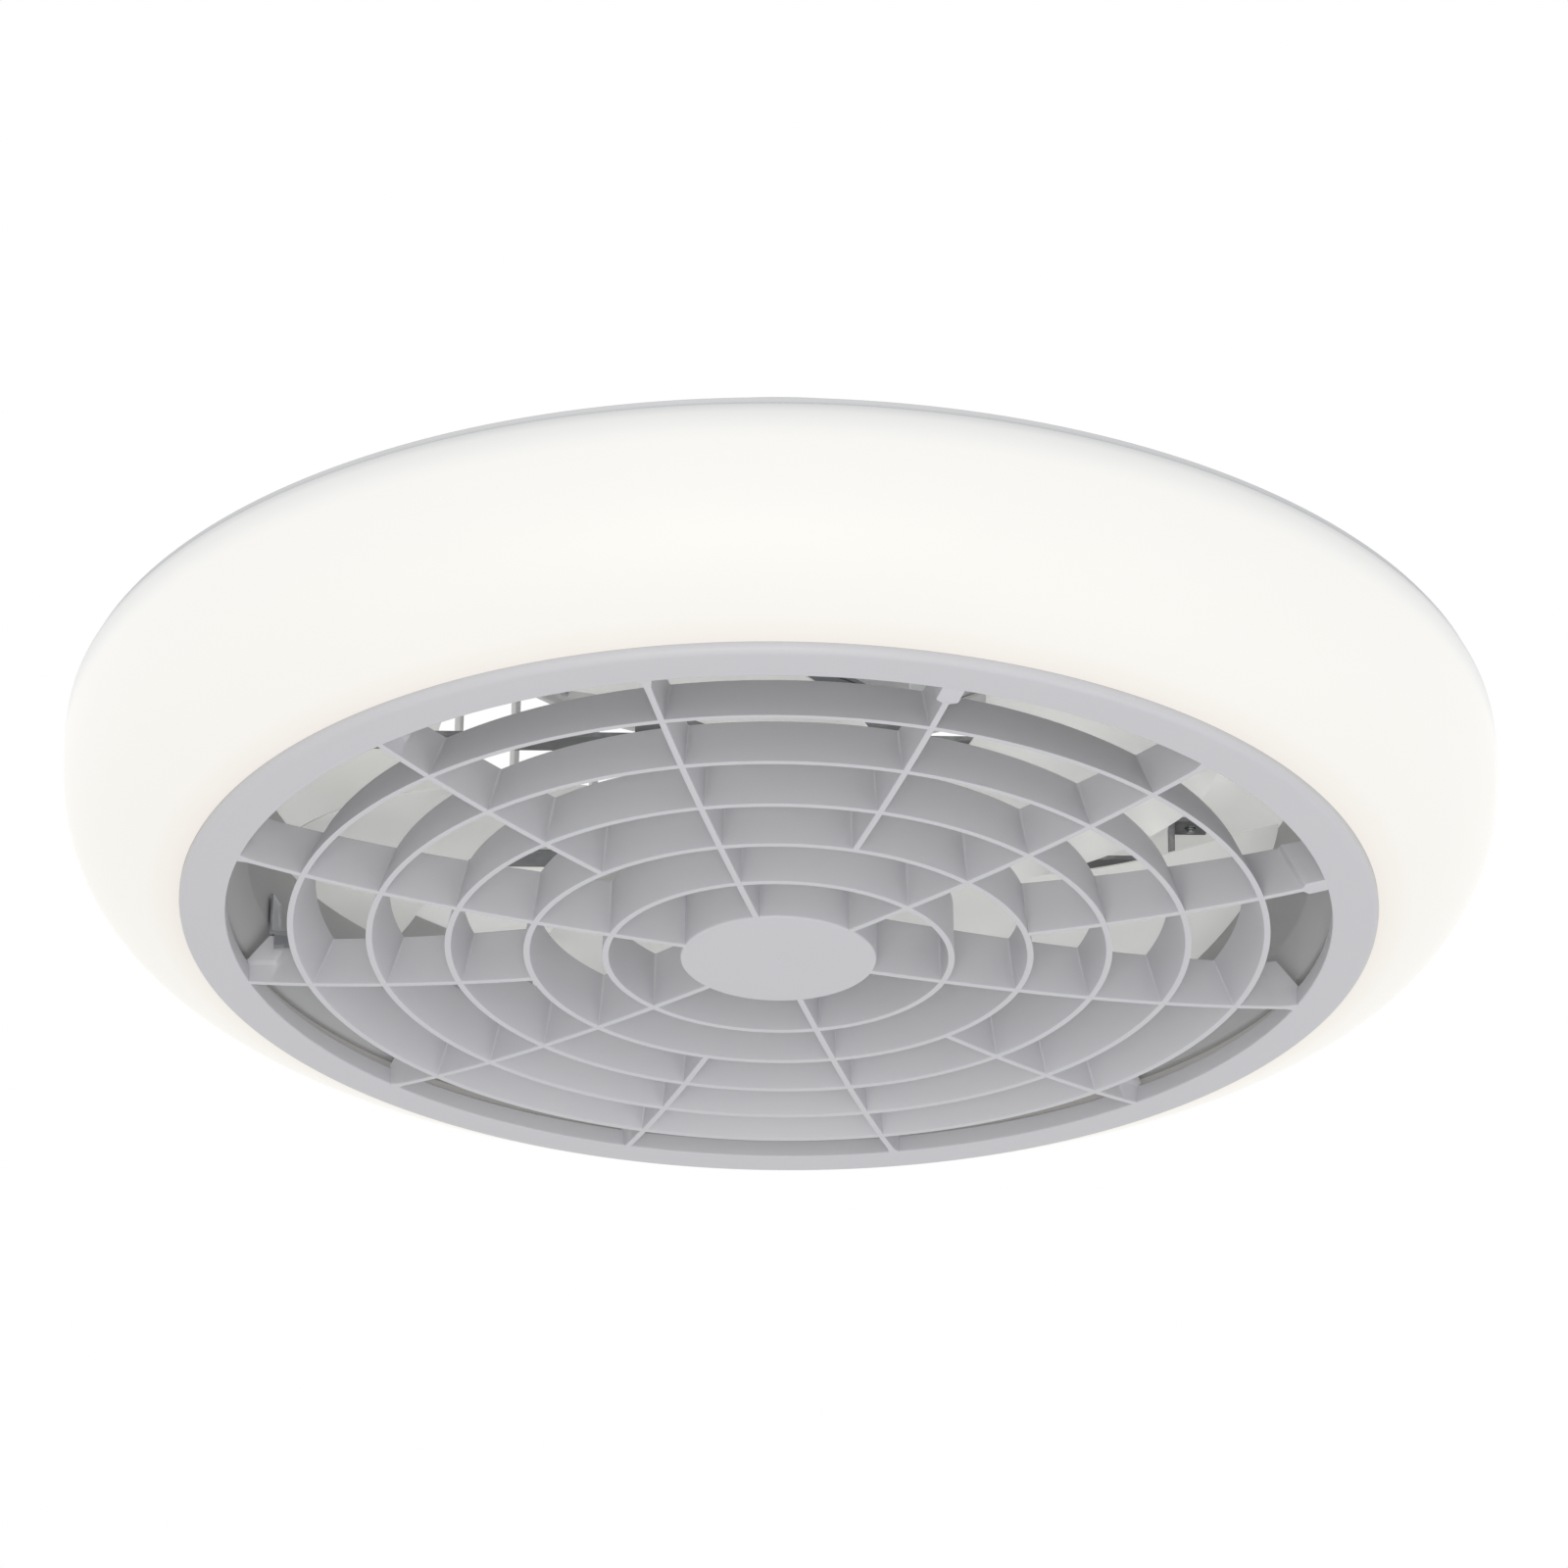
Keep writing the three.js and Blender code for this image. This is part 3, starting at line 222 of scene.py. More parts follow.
# Fine grain of a moulded or a coated surface, with a slight cloudiness in its colour
fine_grain, grain_in, grain_out = new_effect(
    "fine_grain",
    {
        "Color": (COLOR, WHITE),
        "Grain Size": (NUMBER, 0.8 * MM),
        "Cloud": (NUMBER, 0.03),
        "Roughness": (NUMBER, 0.45),
    },
    {"Color": COLOR, "Roughness": NUMBER, "Height": NUMBER},
)
grain_places = on_object(fine_grain)
grain_clouds = add_math(fine_grain, "SUBTRACT", noise(fine_grain, 22.0, 3.0, Vector=grain_places), 0.5)
grain_level = add_math(fine_grain, "MULTIPLY_ADD", grain_clouds, grain_in["Cloud"], 1.0)
grain_scale = add_math(fine_grain, "DIVIDE", 1.0, grain_in["Grain Size"])
grain_gives = {
    "Color": mix_colors(fine_grain, "MULTIPLY", 1.0, grain_in["Color"], grain_level),
    "Roughness": add_math(fine_grain, "MULTIPLY_ADD", grain_clouds, 0.12, grain_in["Roughness"]),
    "Height": noise(fine_grain, grain_scale, 2.0, Vector=grain_places),
}
feed(fine_grain, grain_out, grain_gives)

# Dust that has settled on what faces up
settled_dust, dust_in, dust_out = new_effect(
    "settled_dust",
    {"Color": (COLOR, WHITE), "Dust": (COLOR, (0.55, 0.53, 0.5, 1)), "Amount": (NUMBER, 0.4)},
    {"Color": COLOR, "Cover": NUMBER},
)
dust_normal = add_node(settled_dust, "ShaderNodeNewGeometry").outputs["Normal"]
dust_up = add_node(settled_dust, "ShaderNodeSeparateXYZ", Vector=dust_normal).outputs["Z"]
dust_up = between(settled_dust, dust_up, 0.25, 1.0)
dust_patches = noise(settled_dust, 46.0, 6.0, Vector=on_object(settled_dust))
dust_patches = between(settled_dust, dust_patches, 0.36, 0.68)
dust_cover = add_math(settled_dust, "MULTIPLY", dust_up, dust_patches)
dust_cover = add_math(settled_dust, "MULTIPLY", dust_cover, dust_in["Amount"])
dust_color = mix_colors(settled_dust, "MIX", dust_cover, dust_in["Color"], dust_in["Dust"])
feed(settled_dust, dust_out, {"Color": dust_color, "Cover": dust_cover})


def add_bump(tree, inputs, height, depth):
    """Relief of that depth on a shader's surface."""
    bump = add_node(tree, "ShaderNodeBump", Height=height, Distance=depth, Strength=0.5)
    feed(tree, inputs, {"Normal": bump.outputs[0]})


def surface(
    name,
    color,
    grain,
    cloud=0.03,
    roughness=0.45,
    relief=0.0,
    wear=None,
    dust=0.0,
    dulling=0.0,
    metallic=0.0,
    glow=0.0,
):
    """Material of one colour, or of what a function of its tree gives.

    wear is the colour under the coat and how much of it shows at the edges. dulling is what the
    dust adds to the roughness.
    """
    material, tree, inputs = new_material(name)
    shown = color(tree) if callable(color) else color
    if wear:
        shown = use_effect(tree, edge_wear, Color=shown, Bare=wear[0], Amount=wear[1])["Color"]
    grained = use_effect(tree, fine_grain, Color=shown, Grain_Size=grain, Cloud=cloud, Roughness=roughness)
    shown, dull = grained["Color"], grained["Roughness"]
    if dust:
        dusty = use_effect(tree, settled_dust, Color=shown, Amount=dust)
        shown = dusty["Color"]
        if dulling:
            dull = add_math(tree, "MULTIPLY_ADD", dusty["Cover"], dulling, dull)
    feed(tree, inputs, {"Base Color": shown, "Roughness": dull, "Metallic": metallic})
    if glow:
        feed(tree, inputs, {"Emission Color": shown, "Emission Strength": glow})
    if relief:
        add_bump(tree, inputs, grained["Height"], relief)
    return material


def spangle(tree):
    """Colour of zinc plating: cool grey crystals, some of them darker."""
    cells = add_node(tree, "ShaderNodeTexVoronoi", Vector=on_object(tree), Scale=170.0).outputs["Color"]
    share = add_node(tree, "ShaderNodeSeparateXYZ", Vector=cells).outputs["X"]
    return mix_colors(tree, "MIX", share, ZINC, ZINC_DARK)


zinc_plate = surface(
    "zinc_plate",
    spangle,
    grain=0.4 * MM,
    roughness=0.36,
    relief=0.02 * MM,
    wear=(BARE_STEEL, 0.7),
    metallic=0.85,
)


def dress(node, material, edge=0.0):
    """Gives a kept node its material and, where it has an edge size, slightly broken edges."""
    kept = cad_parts[node]
    kept.data.materials.clear()
    kept.data.materials.append(material)
    if edge:
        kept.modifiers.new("weld", "WELD").merge_threshold = 0.01 * MM
        broken = kept.modifiers.new("broken_edges", "BEVEL")
        broken.width = edge
        broken.segments = 2
        broken.limit_method = "ANGLE"
        broken.angle_limit = math.radians(BROKEN_ABOVE)
        broken.use_clamp_overlap = True
        broken.harden_normals = True


dress("ceiling_bracket", zinc_plate, SHEET_EDGE)

# ----------------------------------------------------------
# Canopy and deck. The canopy is a shallow cup of white powder-coated steel that covers the bracket.
# The deck under it is a flat disc with a pressed bead, and closes the top of the air intake.
CANOPY_RADIUS = 104 * MM
CANOPY_FLANGE = 10 * MM
CANOPY_SHEET = 1.2 * MM
DECK_RADIUS = 137 * MM
DECK_HOLE = 7.3 * MM
DECK_BEAD = (112 * MM, 118 * MM, 0.9 * MM)  # inner and outer radius, rise
DECK_FOLD = 0.5 * MM
BEND = 2 * MM
FOLD_STEPS = 4
ROUND_SIDES = 180
SHARP = 35  # edges that turn by more degrees than this stay sharp
POWDER_WHITE = (0.80, 0.81, 0.82, 1)

powder_coat = surface(
    "white_powder_coat",
    POWDER_WHITE,
    grain=1.1 * MM,
    cloud=0.05,
    roughness=0.42,
    relief=0.06 * MM,
    dust=0.45,
    dulling=0.4,
)


def rounded(outline, radius, steps=FOLD_STEPS):
    """Closed outline with each corner rounded, as far as its sides allow."""
    points = [Vector(point) for point in outline]
    made = []
    for i, corner in enumerate(points):
        before = points[i - 1] - corner
        after = points[(i + 1) % len(points)] - corner
        start = corner + before.normalized() * min(radius, 0.45 * before.length)
        end = corner + after.normalized() * min(radius, 0.45 * after.length)
        for j in range(steps + 1):
            t = j / steps
            made.append(start * (1 - t) ** 2 + corner * (2 * t * (1 - t)) + end * t**2)
    return [tuple(point) for point in made]


def shaded(name, points, faces):
    """Mesh from points and faces, smooth but for its sharp edges, with its faces turned outward."""
    mesh = bpy.data.meshes.new(name)
    mesh.from_pydata(points, [], faces)
    shape = bmesh.new()
    shape.from_mesh(mesh)
    bmesh.ops.recalc_face_normals(shape, faces=shape.faces)
    shape.to_mesh(mesh)
    shape.free()
    mesh.shade_smooth()
    mesh.set_sharp_from_angle(angle=math.radians(SHARP))
    return mesh


def skin(rings, closed=False):
    """Points and faces through rings of equally many points, joined up or with an end face each."""
    count = len(rings[0])
    points = [tuple(point) for ring in rings for point in ring]
    faces = []
    for i in range(len(rings) if closed else len(rings) - 1):
        here, there = i * count, (i + 1) % len(rings) * count
        for j in range(count):
            k = (j + 1) % count
            faces.append((here + j, there + j, there + k, here + k))
    if not closed:
        faces += [tuple(range(count)), tuple(range(len(points) - count, len(points)))]
    return points, faces


def turned(outline, sides=ROUND_SIDES):
    """Points and faces of a closed [radius, height] outline turned round the fan's axis."""
    turns = [2 * math.pi * i / sides for i in range(sides)]
    rings = [[(r * math.cos(turn), r * math.sin(turn), z) for r, z in outline] for turn in turns]
    return skin(rings, closed=True)


def merged(shapes):
    """Several sets of points and faces as one."""
    points, faces = [], []
    for more_points, more_faces in shapes:
        first = len(points)
        points.extend(more_points)
        faces.extend(tuple(first + i for i in face) for face in more_faces)
    return points, faces


def fit(name, shape, body, material, node, place=(0, 0, 0), turn=(0, 0, 0)):
    """One finished piece: it rides on its body and stands for its node."""
    mesh = shape if isinstance(shape, bpy.types.Mesh) else shaded(name, *shape)
    if not mesh.materials:
        mesh.materials.append(material)
    piece = show(name, mesh)
    piece.location = place
    piece.rotation_euler = turn
    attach(piece, body)
    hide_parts(node)


def levels(node):
    """Lower and upper height of a kept node."""
    low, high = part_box(node)
    return low.z, high.z


low, high = levels("canopy_shell")
canopy_outline = [
    (CANOPY_RADIUS - CANOPY_FLANGE, low),
    (CANOPY_RADIUS, low),
    (CANOPY_RADIUS, high),
    (CANOPY_RADIUS - CANOPY_SHEET, high),
    (CANOPY_RADIUS - CANOPY_SHEET, low + CANOPY_SHEET),
    (CANOPY_RADIUS - CANOPY_FLANGE, low + CANOPY_SHEET),
]
fit("canopy", turned(rounded(canopy_outline, BEND)), "housing", powder_coat, "canopy_shell")


def beaded_sheet(inner, outer, bottom, top, bead):
    """Outline of a flat sheet with a pressed ring bead that rises from it."""
    start, end, rise = bead
    slope = 1.5 * rise
    under = [(inner, bottom), (start, bottom), (start + slope, bottom + rise)]
    under += [(end - slope, bottom + rise), (end, bottom), (outer, bottom)]
    over = [(outer, top), (end, top), (end - slope, top + rise), (start + slope, top + rise)]
    over += [(start, top), (inner, top)]
    return under + over


deck_bottom, deck_top = levels("top_deck")
deck_outline = beaded_sheet(DECK_HOLE, DECK_RADIUS, deck_bottom, deck_top, DECK_BEAD)
fit("deck", turned(rounded(deck_outline, DECK_FOLD)), "housing", powder_coat, "top_deck")

# ----------------------------------------------------------
# Air intake cage. A moulded ring of white plastic with a foot, a sill, twenty slim uprights and a
# head with an inner shelf. Screws hold it to pan and deck, and air is drawn in between its uprights.
CAGE_RADIUS = 137 * MM
CAGE_WALL = 3 * MM
CAGE_FOOT = 13 * MM
CAGE_SHELF = 11 * MM
CAGE_FLANGE = 2 * MM
CAGE_SILL = 11 * MM
CAGE_HEAD = 5 * MM
CAGE_EDGE = 0.8 * MM
UPRIGHT_SINK = 1 * MM  # into the sill and the head
UPRIGHT_COUNT = 20
UPRIGHT_WIDTH = 3.2 * MM
UPRIGHT_DEPTH = 0.96 * CAGE_WALL
UPRIGHT_CORNER = 0.7 * MM
FIRST_UPRIGHT = 16
MOULDED_WHITE = (0.83, 0.83, 0.82, 1)

white_moulding = surface(
    "white_moulding", MOULDED_WHITE, grain=0.9 * MM, cloud=0.04, relief=0.04 * MM, dust=0.35
)


def polar(angle_degrees, radius, z=0.0):
    """Point at an angle and a radius round the fan's axis."""
    angle = math.radians(angle_degrees)
    return Vector((radius * math.cos(angle), radius * math.sin(angle), z))


def prism(outline, bottom, top, place=(0, 0, 0), turn_degrees=0.0, edge=0.0):
    """Upright prism of an [x, y] outline about a place, its outline turned, with chamfered ends."""
    turn = Matrix.Rotation(math.radians(turn_degrees), 3, "Z")
    middle = sum((Vector(point) for point in outline), Vector((0, 0))) / len(outline)
    heights = [(bottom, 0), (top, 0)]
    if edge:
        heights = [(bottom, edge), (bottom + edge, 0), (top - edge, 0), (top, edge)]
    rings = []
    for z, inset in heights:
        ring = []
        for point in outline:
            arm = Vector(point) - middle
            x, y = middle + arm * (1 - inset / max(arm.length, edge or 1))
            ring.append(turn @ Vector((x, y, 0)) + Vector(place) + Vector((0, 0, z)))
        rings.append(ring)
    return skin(rings)


def rectangle(width, depth, radius):
    """Rectangle about the origin, with round corners."""
    x, y = width / 2, depth / 2
    return rounded([(-x, -y), (x, -y), (x, y), (-x, y)], radius)


low, high = levels("intake_cage")
cage_inner = CAGE_RADIUS - CAGE_WALL
cage_foot_outline = [
    (cage_inner, low),
    (CAGE_RADIUS + CAGE_FOOT, low),
    (CAGE_RADIUS + CAGE_FOOT, low + CAGE_FLANGE),
    (CAGE_RADIUS, low + CAGE_FLANGE),
    (CAGE_RADIUS, low + CAGE_SILL),
    (cage_inner, low + CAGE_SILL),
]
cage_head_outline = [
    (CAGE_RADIUS, high - CAGE_HEAD),
    (CAGE_RADIUS, high),
    (cage_inner - CAGE_SHELF, high),
    (cage_inner - CAGE_SHELF, high - CAGE_FLANGE),
    (cage_inner, high - CAGE_FLANGE),
    (cage_inner, high - CAGE_HEAD),
]
cage_shapes = [turned(rounded(outline, CAGE_EDGE)) for outline in (cage_foot_outline, cage_head_outline)]
upright_outline = rectangle(UPRIGHT_DEPTH, UPRIGHT_WIDTH, UPRIGHT_CORNER)
for i in range(UPRIGHT_COUNT):
    angle = FIRST_UPRIGHT + i * 360 / UPRIGHT_COUNT
    place = polar(angle, CAGE_RADIUS - CAGE_WALL / 2)
    ends = low + CAGE_SILL - UPRIGHT_SINK, high - CAGE_HEAD + UPRIGHT_SINK
    cage_shapes.append(prism(upright_outline, *ends, place, angle))
fit("air_intake_cage", merged(cage_shapes), "housing", white_moulding, "intake_cage")

# ----------------------------------------------------------
# Chassis pan. A wide ring of white powder-coated steel with a turned-up rim, which shows as a
# thin grey line above the shade. Its coat is coloured grey as painted shade, and its underside inside
# the duct is a lighter copy with a painted glow. A pressed bead stiffens it, and everything below
# hangs from it.
PAN_OUTER = 272.3 * MM
PAN_OPENING = 133 * MM
PAN_SHEET = 1.2 * MM
PAN_BEAD = (226 * MM, 238 * MM, 1.5 * MM)
PAN_FOLD = 0.55 * MM
FINE_SIDES = 240
# This grey stands for the white coat in shade: painted shade
PAN_PAINTED_SHADE_GREY = (0.62, 0.625, 0.635, 1)
PAN_INNER_LIT_WHITE = (0.86, 0.86, 0.85, 1)
PAN_INNER_PAINTED_GLOW = 0.28
PAN_PAINTED_GLOW_REACH = 203 * MM

pan_shaded_paint = surface(
    "pan_shaded_paint", PAN_PAINTED_SHADE_GREY, grain=1.1 * MM, cloud=0.05, roughness=0.42, relief=0.06 * MM, dust=0.45
)

# Inside the duct the pan's underside is a lighter white with a painted glow, which stands in for stray
# light of the lamp and the intake
pan_painted_glow = surface("pan_inner_painted_glow", PAN_INNER_LIT_WHITE, grain=1.1 * MM, cloud=0.12, glow=PAN_INNER_PAINTED_GLOW)

low, high = levels("chassis_pan")
pan_flat = beaded_sheet(PAN_OPENING, PAN_OUTER, low, low + PAN_SHEET, PAN_BEAD)
pan_corner = pan_flat.index((PAN_OUTER, low + PAN_SHEET))
pan_rim = [(PAN_OUTER, high), (PAN_OUTER - PAN_SHEET, high), (PAN_OUTER - PAN_SHEET, low + PAN_SHEET)]
pan_outline = pan_flat[:pan_corner] + pan_rim + pan_flat[pan_corner + 1 :]
pan_mesh = shaded("pan", *turned(rounded(pan_outline, PAN_FOLD), FINE_SIDES))
pan_mesh.materials.append(pan_shaded_paint)
pan_mesh.materials.append(pan_painted_glow)
# Faces under the pan inside the duct take the lighter copy with its painted glow: painted light
for face in pan_mesh.polygons:
    face.material_index = int(face.normal.z < -0.5 and face.center.xy.length < PAN_PAINTED_GLOW_REACH)
fit("pan", pan_mesh, "housing", pan_shaded_paint, "chassis_pan")

# ----------------------------------------------------------
# Lamp board. A ring of aluminium-backed circuit board with white solder mask, screwed under the pan,
# and twenty-four square diodes with yellow phosphor that light the shade from inside.
BOARD_INNER = 215 * MM
BOARD_OUTER = 262 * MM
BOARD_THICKNESS = 1.6 * MM
BOARD_EDGE = 0.2 * MM
DIODE_COUNT = 24
DIODE_SIZE = 5 * MM
DIODE_HEIGHT = 1.2 * MM
DIODE_CORNER = 0.6 * MM
DIODE_EDGE = 0.3 * MM
DIODE_SINK = 0.2 * MM  # into the board
SOLDER_MASK = (0.88, 0.88, 0.86, 1)
PHOSPHOR = (0.95, 0.82, 0.35, 1)
PHOSPHOR_GLOW = 0.6

solder_mask = surface("white_solder_mask", SOLDER_MASK, grain=0.5 * MM, roughness=0.3)
phosphor = surface("diode_phosphor", PHOSPHOR, grain=0.3 * MM, roughness=0.5, glow=PHOSPHOR_GLOW)


def band(inner, outer, bottom, top):
    """Outline of a flat ring."""
    return [(inner, bottom), (outer, bottom), (outer, top), (inner, top)]


board_top = levels("led_board")[1]
board_bottom = board_top - BOARD_THICKNESS
board_sheet = turned(rounded(band(BOARD_INNER, BOARD_OUTER, board_bottom, board_top), BOARD_EDGE, 2))
diode_outline = rectangle(DIODE_SIZE, DIODE_SIZE, DIODE_CORNER)
diode_ends = board_bottom - DIODE_HEIGHT, board_bottom + DIODE_SINK
diodes = []
for i in range(DIODE_COUNT):
    angle = i * 360 / DIODE_COUNT
    place = polar(angle, (BOARD_INNER + BOARD_OUTER) / 2)
    diodes.append(prism(diode_outline, *diode_ends, place, angle, DIODE_EDGE))
board_mesh = shaded("lamp_board", *merged([board_sheet, *diodes]))
board_mesh.materials.append(solder_mask)
board_mesh.materials.append(phosphor)
for face in board_mesh.polygons:
    face.material_index = int(face.index >= len(board_sheet[1]))
fit("lamp_board", board_mesh, "housing", solder_mask, "led_board")

# ----------------------------------------------------------
# Air duct. A round wall of satin grey-white plastic inside the lamp, flared at its mouth, with a
# flange at each end: the upper one is screwed to the pan, and the lower one carries the shade.
DUCT_RADIUS = 203 * MM
DUCT_WALL = 2.2 * MM
DUCT_FLARE = 9 * MM
DUCT_FLARE_HEIGHT = 11 * MM
DUCT_FLANGE = 13 * MM
DUCT_TOP_FLANGE = 8 * MM
DUCT_EDGE = 1 * MM
DUCT_GREY = (0.46, 0.462, 0.464, 1)

duct_plastic = surface(
    "duct_plastic", DUCT_GREY, grain=0.9 * MM, cloud=0.05, roughness=0.5, relief=0.04 * MM
)

low, high = levels("air_duct")
duct_mouth = DUCT_RADIUS + DUCT_FLARE
duct_outline = [
    (duct_mouth, low),
    (duct_mouth + DUCT_FLANGE, low),
    (duct_mouth + DUCT_FLANGE, low + DUCT_WALL),
    (duct_mouth + DUCT_WALL, low + DUCT_WALL),
    (DUCT_RADIUS + DUCT_WALL, low + DUCT_FLARE_HEIGHT + DUCT_WALL / 2),
    (DUCT_RADIUS + DUCT_WALL, high - DUCT_WALL),
    (DUCT_RADIUS + DUCT_TOP_FLANGE, high - DUCT_WALL),
    (DUCT_RADIUS + DUCT_TOP_FLANGE, high),
    (DUCT_RADIUS, high),
    (DUCT_RADIUS, low + DUCT_FLARE_HEIGHT),
]
fit("duct", turned(rounded(duct_outline, DUCT_EDGE)), "housing", duct_plastic, "air_duct")

# ----------------------------------------------------------
# Ring shade. Opal acrylic, vacuum formed, 2.5 mm thick, lit from inside. It glows almost white, a
# little warmer at its lower edge, and darkens over its shoulder, where the diodes don't reach. Its
# lip, clamped between the frame and the duct, stays darker.
SHADE_RADIUS = 275 * MM
SHADE_EDGE = 228.35 * MM
SHADE_RIM = 272.3 * MM
SHADE_WALL = 2.5 * MM
SHADE_LIP_RISE = 5.2 * MM
SHADE_LIP_WIDTH = 14 * MM
SHADE_BELLY = 58.2 * MM
LOWER_POWER = 2.5
LOWER_CUT = 0.35  # share of the lower curve's width that the edge cuts off
UPPER_POWER = 3.35
LOWER_STEPS = 40
UPPER_STEPS = 20
SHADE_SIDES = 320
OPAL = (0.30, 0.30, 0.297, 1)
LIP_GLOW = 0.25  # share of the glow that reaches the clamped lip
GLOW = [
    # share of the shade's height, glow
    (0.0, (0.565, 0.53, 0.475, 1)),
    (0.05, (0.60, 0.58, 0.545, 1)),
    (0.35, (0.612, 0.595, 0.56, 1)),
    (0.70, (0.612, 0.60, 0.57, 1)),
    (0.79, (0.605, 0.597, 0.575, 1)),
    (0.84, (0.575, 0.57, 0.555, 1)),
    (0.94, (0.484, 0.485, 0.48, 1)),
    (1.0, (0.31, 0.315, 0.32, 1)),
]

opal_acrylic, opal_tree, opal_inputs = new_material("opal_acrylic")
shade_bottom, shade_top = levels("light_shade")
opal_places = on_object(opal_tree)
opal_height = add_node(opal_tree, "ShaderNodeSeparateXYZ", Vector=opal_places).outputs["Z"]
opal_height = between(opal_tree, opal_height, shade_bottom, shade_top)
opal_ramp = add_node(opal_tree, "ShaderNodeValToRGB", Fac=opal_height)
for i, (share, glow) in enumerate(GLOW):
    stops = opal_ramp.color_ramp.elements
    stop = stops[i] if i < 2 else stops.new(share)
    stop.position = share
    stop.color = glow
opal_flat = add_node(opal_tree, "ShaderNodeVectorMath", Vector=opal_places)
opal_flat.operation = "MULTIPLY"
opal_flat.inputs[1].default_value = (1, 1, 0)
opal_reach = add_node(opal_tree, "ShaderNodeVectorMath", Vector=opal_flat.outputs[0])
opal_reach.operation = "LENGTH"
opal_free = between(
    opal_tree, opal_reach.outputs["Value"], SHADE_EDGE - 1.5 * MM, SHADE_EDGE - 0.5 * MM, LIP_GLOW
)
opal_glow = mix_colors(opal_tree, "MULTIPLY", 1.0, opal_ramp.outputs[0], opal_free)
opal_clouds = use_effect(opal_tree, fine_grain, Color=opal_glow, Cloud=0.015, Roughness=0.55)
opal_body = use_effect(opal_tree, fine_grain, Color=OPAL, Cloud=0.02, Roughness=0.55)
opal_gives = {
    "Base Color": opal_body["Color"],
    "Emission Color": opal_clouds["Color"],
    "Roughness": opal_clouds["Roughness"],
    "Emission Strength": 1.0,
}
feed(opal_tree, opal_inputs, opal_gives)


def lower_curve(edge, belly, bottom, top):
    """Quarter curve out to the widest point, from part of the way along, so that it starts at a slope."""
    start = math.asin(LOWER_CUT ** (LOWER_POWER / 2))
    width = (belly - edge) / (1 - LOWER_CUT)
    height = (top - bottom) / math.cos(start) ** (2 / LOWER_POWER)
    made = []
    for i in range(LOWER_STEPS + 1):
        turn = start + (math.pi / 2 - start) * i / LOWER_STEPS
        out = math.sin(turn) ** (2 / LOWER_POWER)
        down = max(0.0, math.cos(turn)) ** (2 / LOWER_POWER)
        made.append((belly - width * (1 - out), top - height * down))
    return made


def upper_curve(belly, rim, bottom, top):
    """Quarter curve from above the widest point in to the upper edge."""
    made = []
    for i in range(1, UPPER_STEPS + 1):
        turn = math.pi / 2 * i / UPPER_STEPS
        up = math.sin(turn) ** (2 / UPPER_POWER)
        out = max(0.0, math.cos(turn)) ** (2 / UPPER_POWER)
        made.append((rim + (belly - rim) * out, bottom + (top - bottom) * up))
    return made


shade_belly = shade_bottom + SHADE_BELLY
lip_bottom = shade_bottom + SHADE_LIP_RISE
lip_top = lip_bottom + SHADE_WALL
lip_inner = SHADE_EDGE - SHADE_LIP_WIDTH
shade_inside = [
    *lower_curve(SHADE_EDGE + SHADE_WALL, SHADE_RADIUS - SHADE_WALL, lip_top, shade_belly),
    *upper_curve(SHADE_RADIUS - SHADE_WALL, SHADE_RIM - SHADE_WALL, shade_belly, shade_top),
]
shade_outline = [
    (lip_inner, lip_top),
    (lip_inner, lip_bottom),
    (SHADE_EDGE, lip_bottom),
    *lower_curve(SHADE_EDGE, SHADE_RADIUS, shade_bottom, shade_belly),
    *upper_curve(SHADE_RADIUS, SHADE_RIM, shade_belly, shade_top),
    *reversed(shade_inside),
]
shade_shape = turned(shade_outline, SHADE_SIDES)
fit("ring_shade", shade_shape, "housing", opal_acrylic, "light_shade")

# ----------------------------------------------------------
# Motor cradle. Two bent straps of grey painted steel hang from the pan, and a plate is screwed
# across them. The paint is thin, so edges show worn steel.
CRADLE_GREY = (0.23, 0.235, 0.245, 1)
CRADLE_BARE = (0.5, 0.5, 0.51, 1)

cradle_paint = surface(
    "grey_cradle_paint",
    CRADLE_GREY,
    grain=1.0 * MM,
    cloud=0.08,
    relief=0.05 * MM,
    wear=(CRADLE_BARE, 0.6),
    dust=0.3,
    metallic=0.2,
)
for name in ("cradle_strap_front", "cradle_strap_rear", "motor_plate"):
    dress(name, cradle_paint, SHEET_EDGE)

# ----------------------------------------------------------
# Motor. A deep-drawn can with a pressed bead and an end cap, both in dark grey enamel. Inside are
# the laminated stator, two ball bearings, the ferrite magnet ring and the ground steel shaft.
CAN_RADIUS = 43 * MM
CAN_WALL = 2 * MM
CAN_HOLE = 6 * MM
CAN_SHOULDER = 3 * MM
CAN_BEAD = 0.8 * MM
CAN_EDGE = 0.7 * MM
CAP_EDGE = 0.6 * MM
CAP_SLOPE = 3 * MM  # of its boss, from the flat out
CAP_PINHOLE = 0.2 * MM  # left open at the axis
BEARING_BOSS = 13.8 * MM
BOSS_WALL = 2.4 * MM
BEARING_HEIGHT = 7 * MM
MOTOR_SIDES = 96
ENAMEL = (0.19, 0.2, 0.215, 1)
ENAMEL_BARE = (0.42, 0.42, 0.43, 1)
STEEL = (0.55, 0.55, 0.56, 1)
COPPER = (0.60, 0.31, 0.16, 1)
LAMINATION = (0.36, 0.36, 0.38, 1)
FERRITE = (0.06, 0.06, 0.065, 1)

motor_enamel = surface(
    "motor_enamel",
    ENAMEL,
    grain=1.2 * MM,
    cloud=0.08,
    relief=0.05 * MM,
    wear=(ENAMEL_BARE, 0.5),
    metallic=0.3,
)

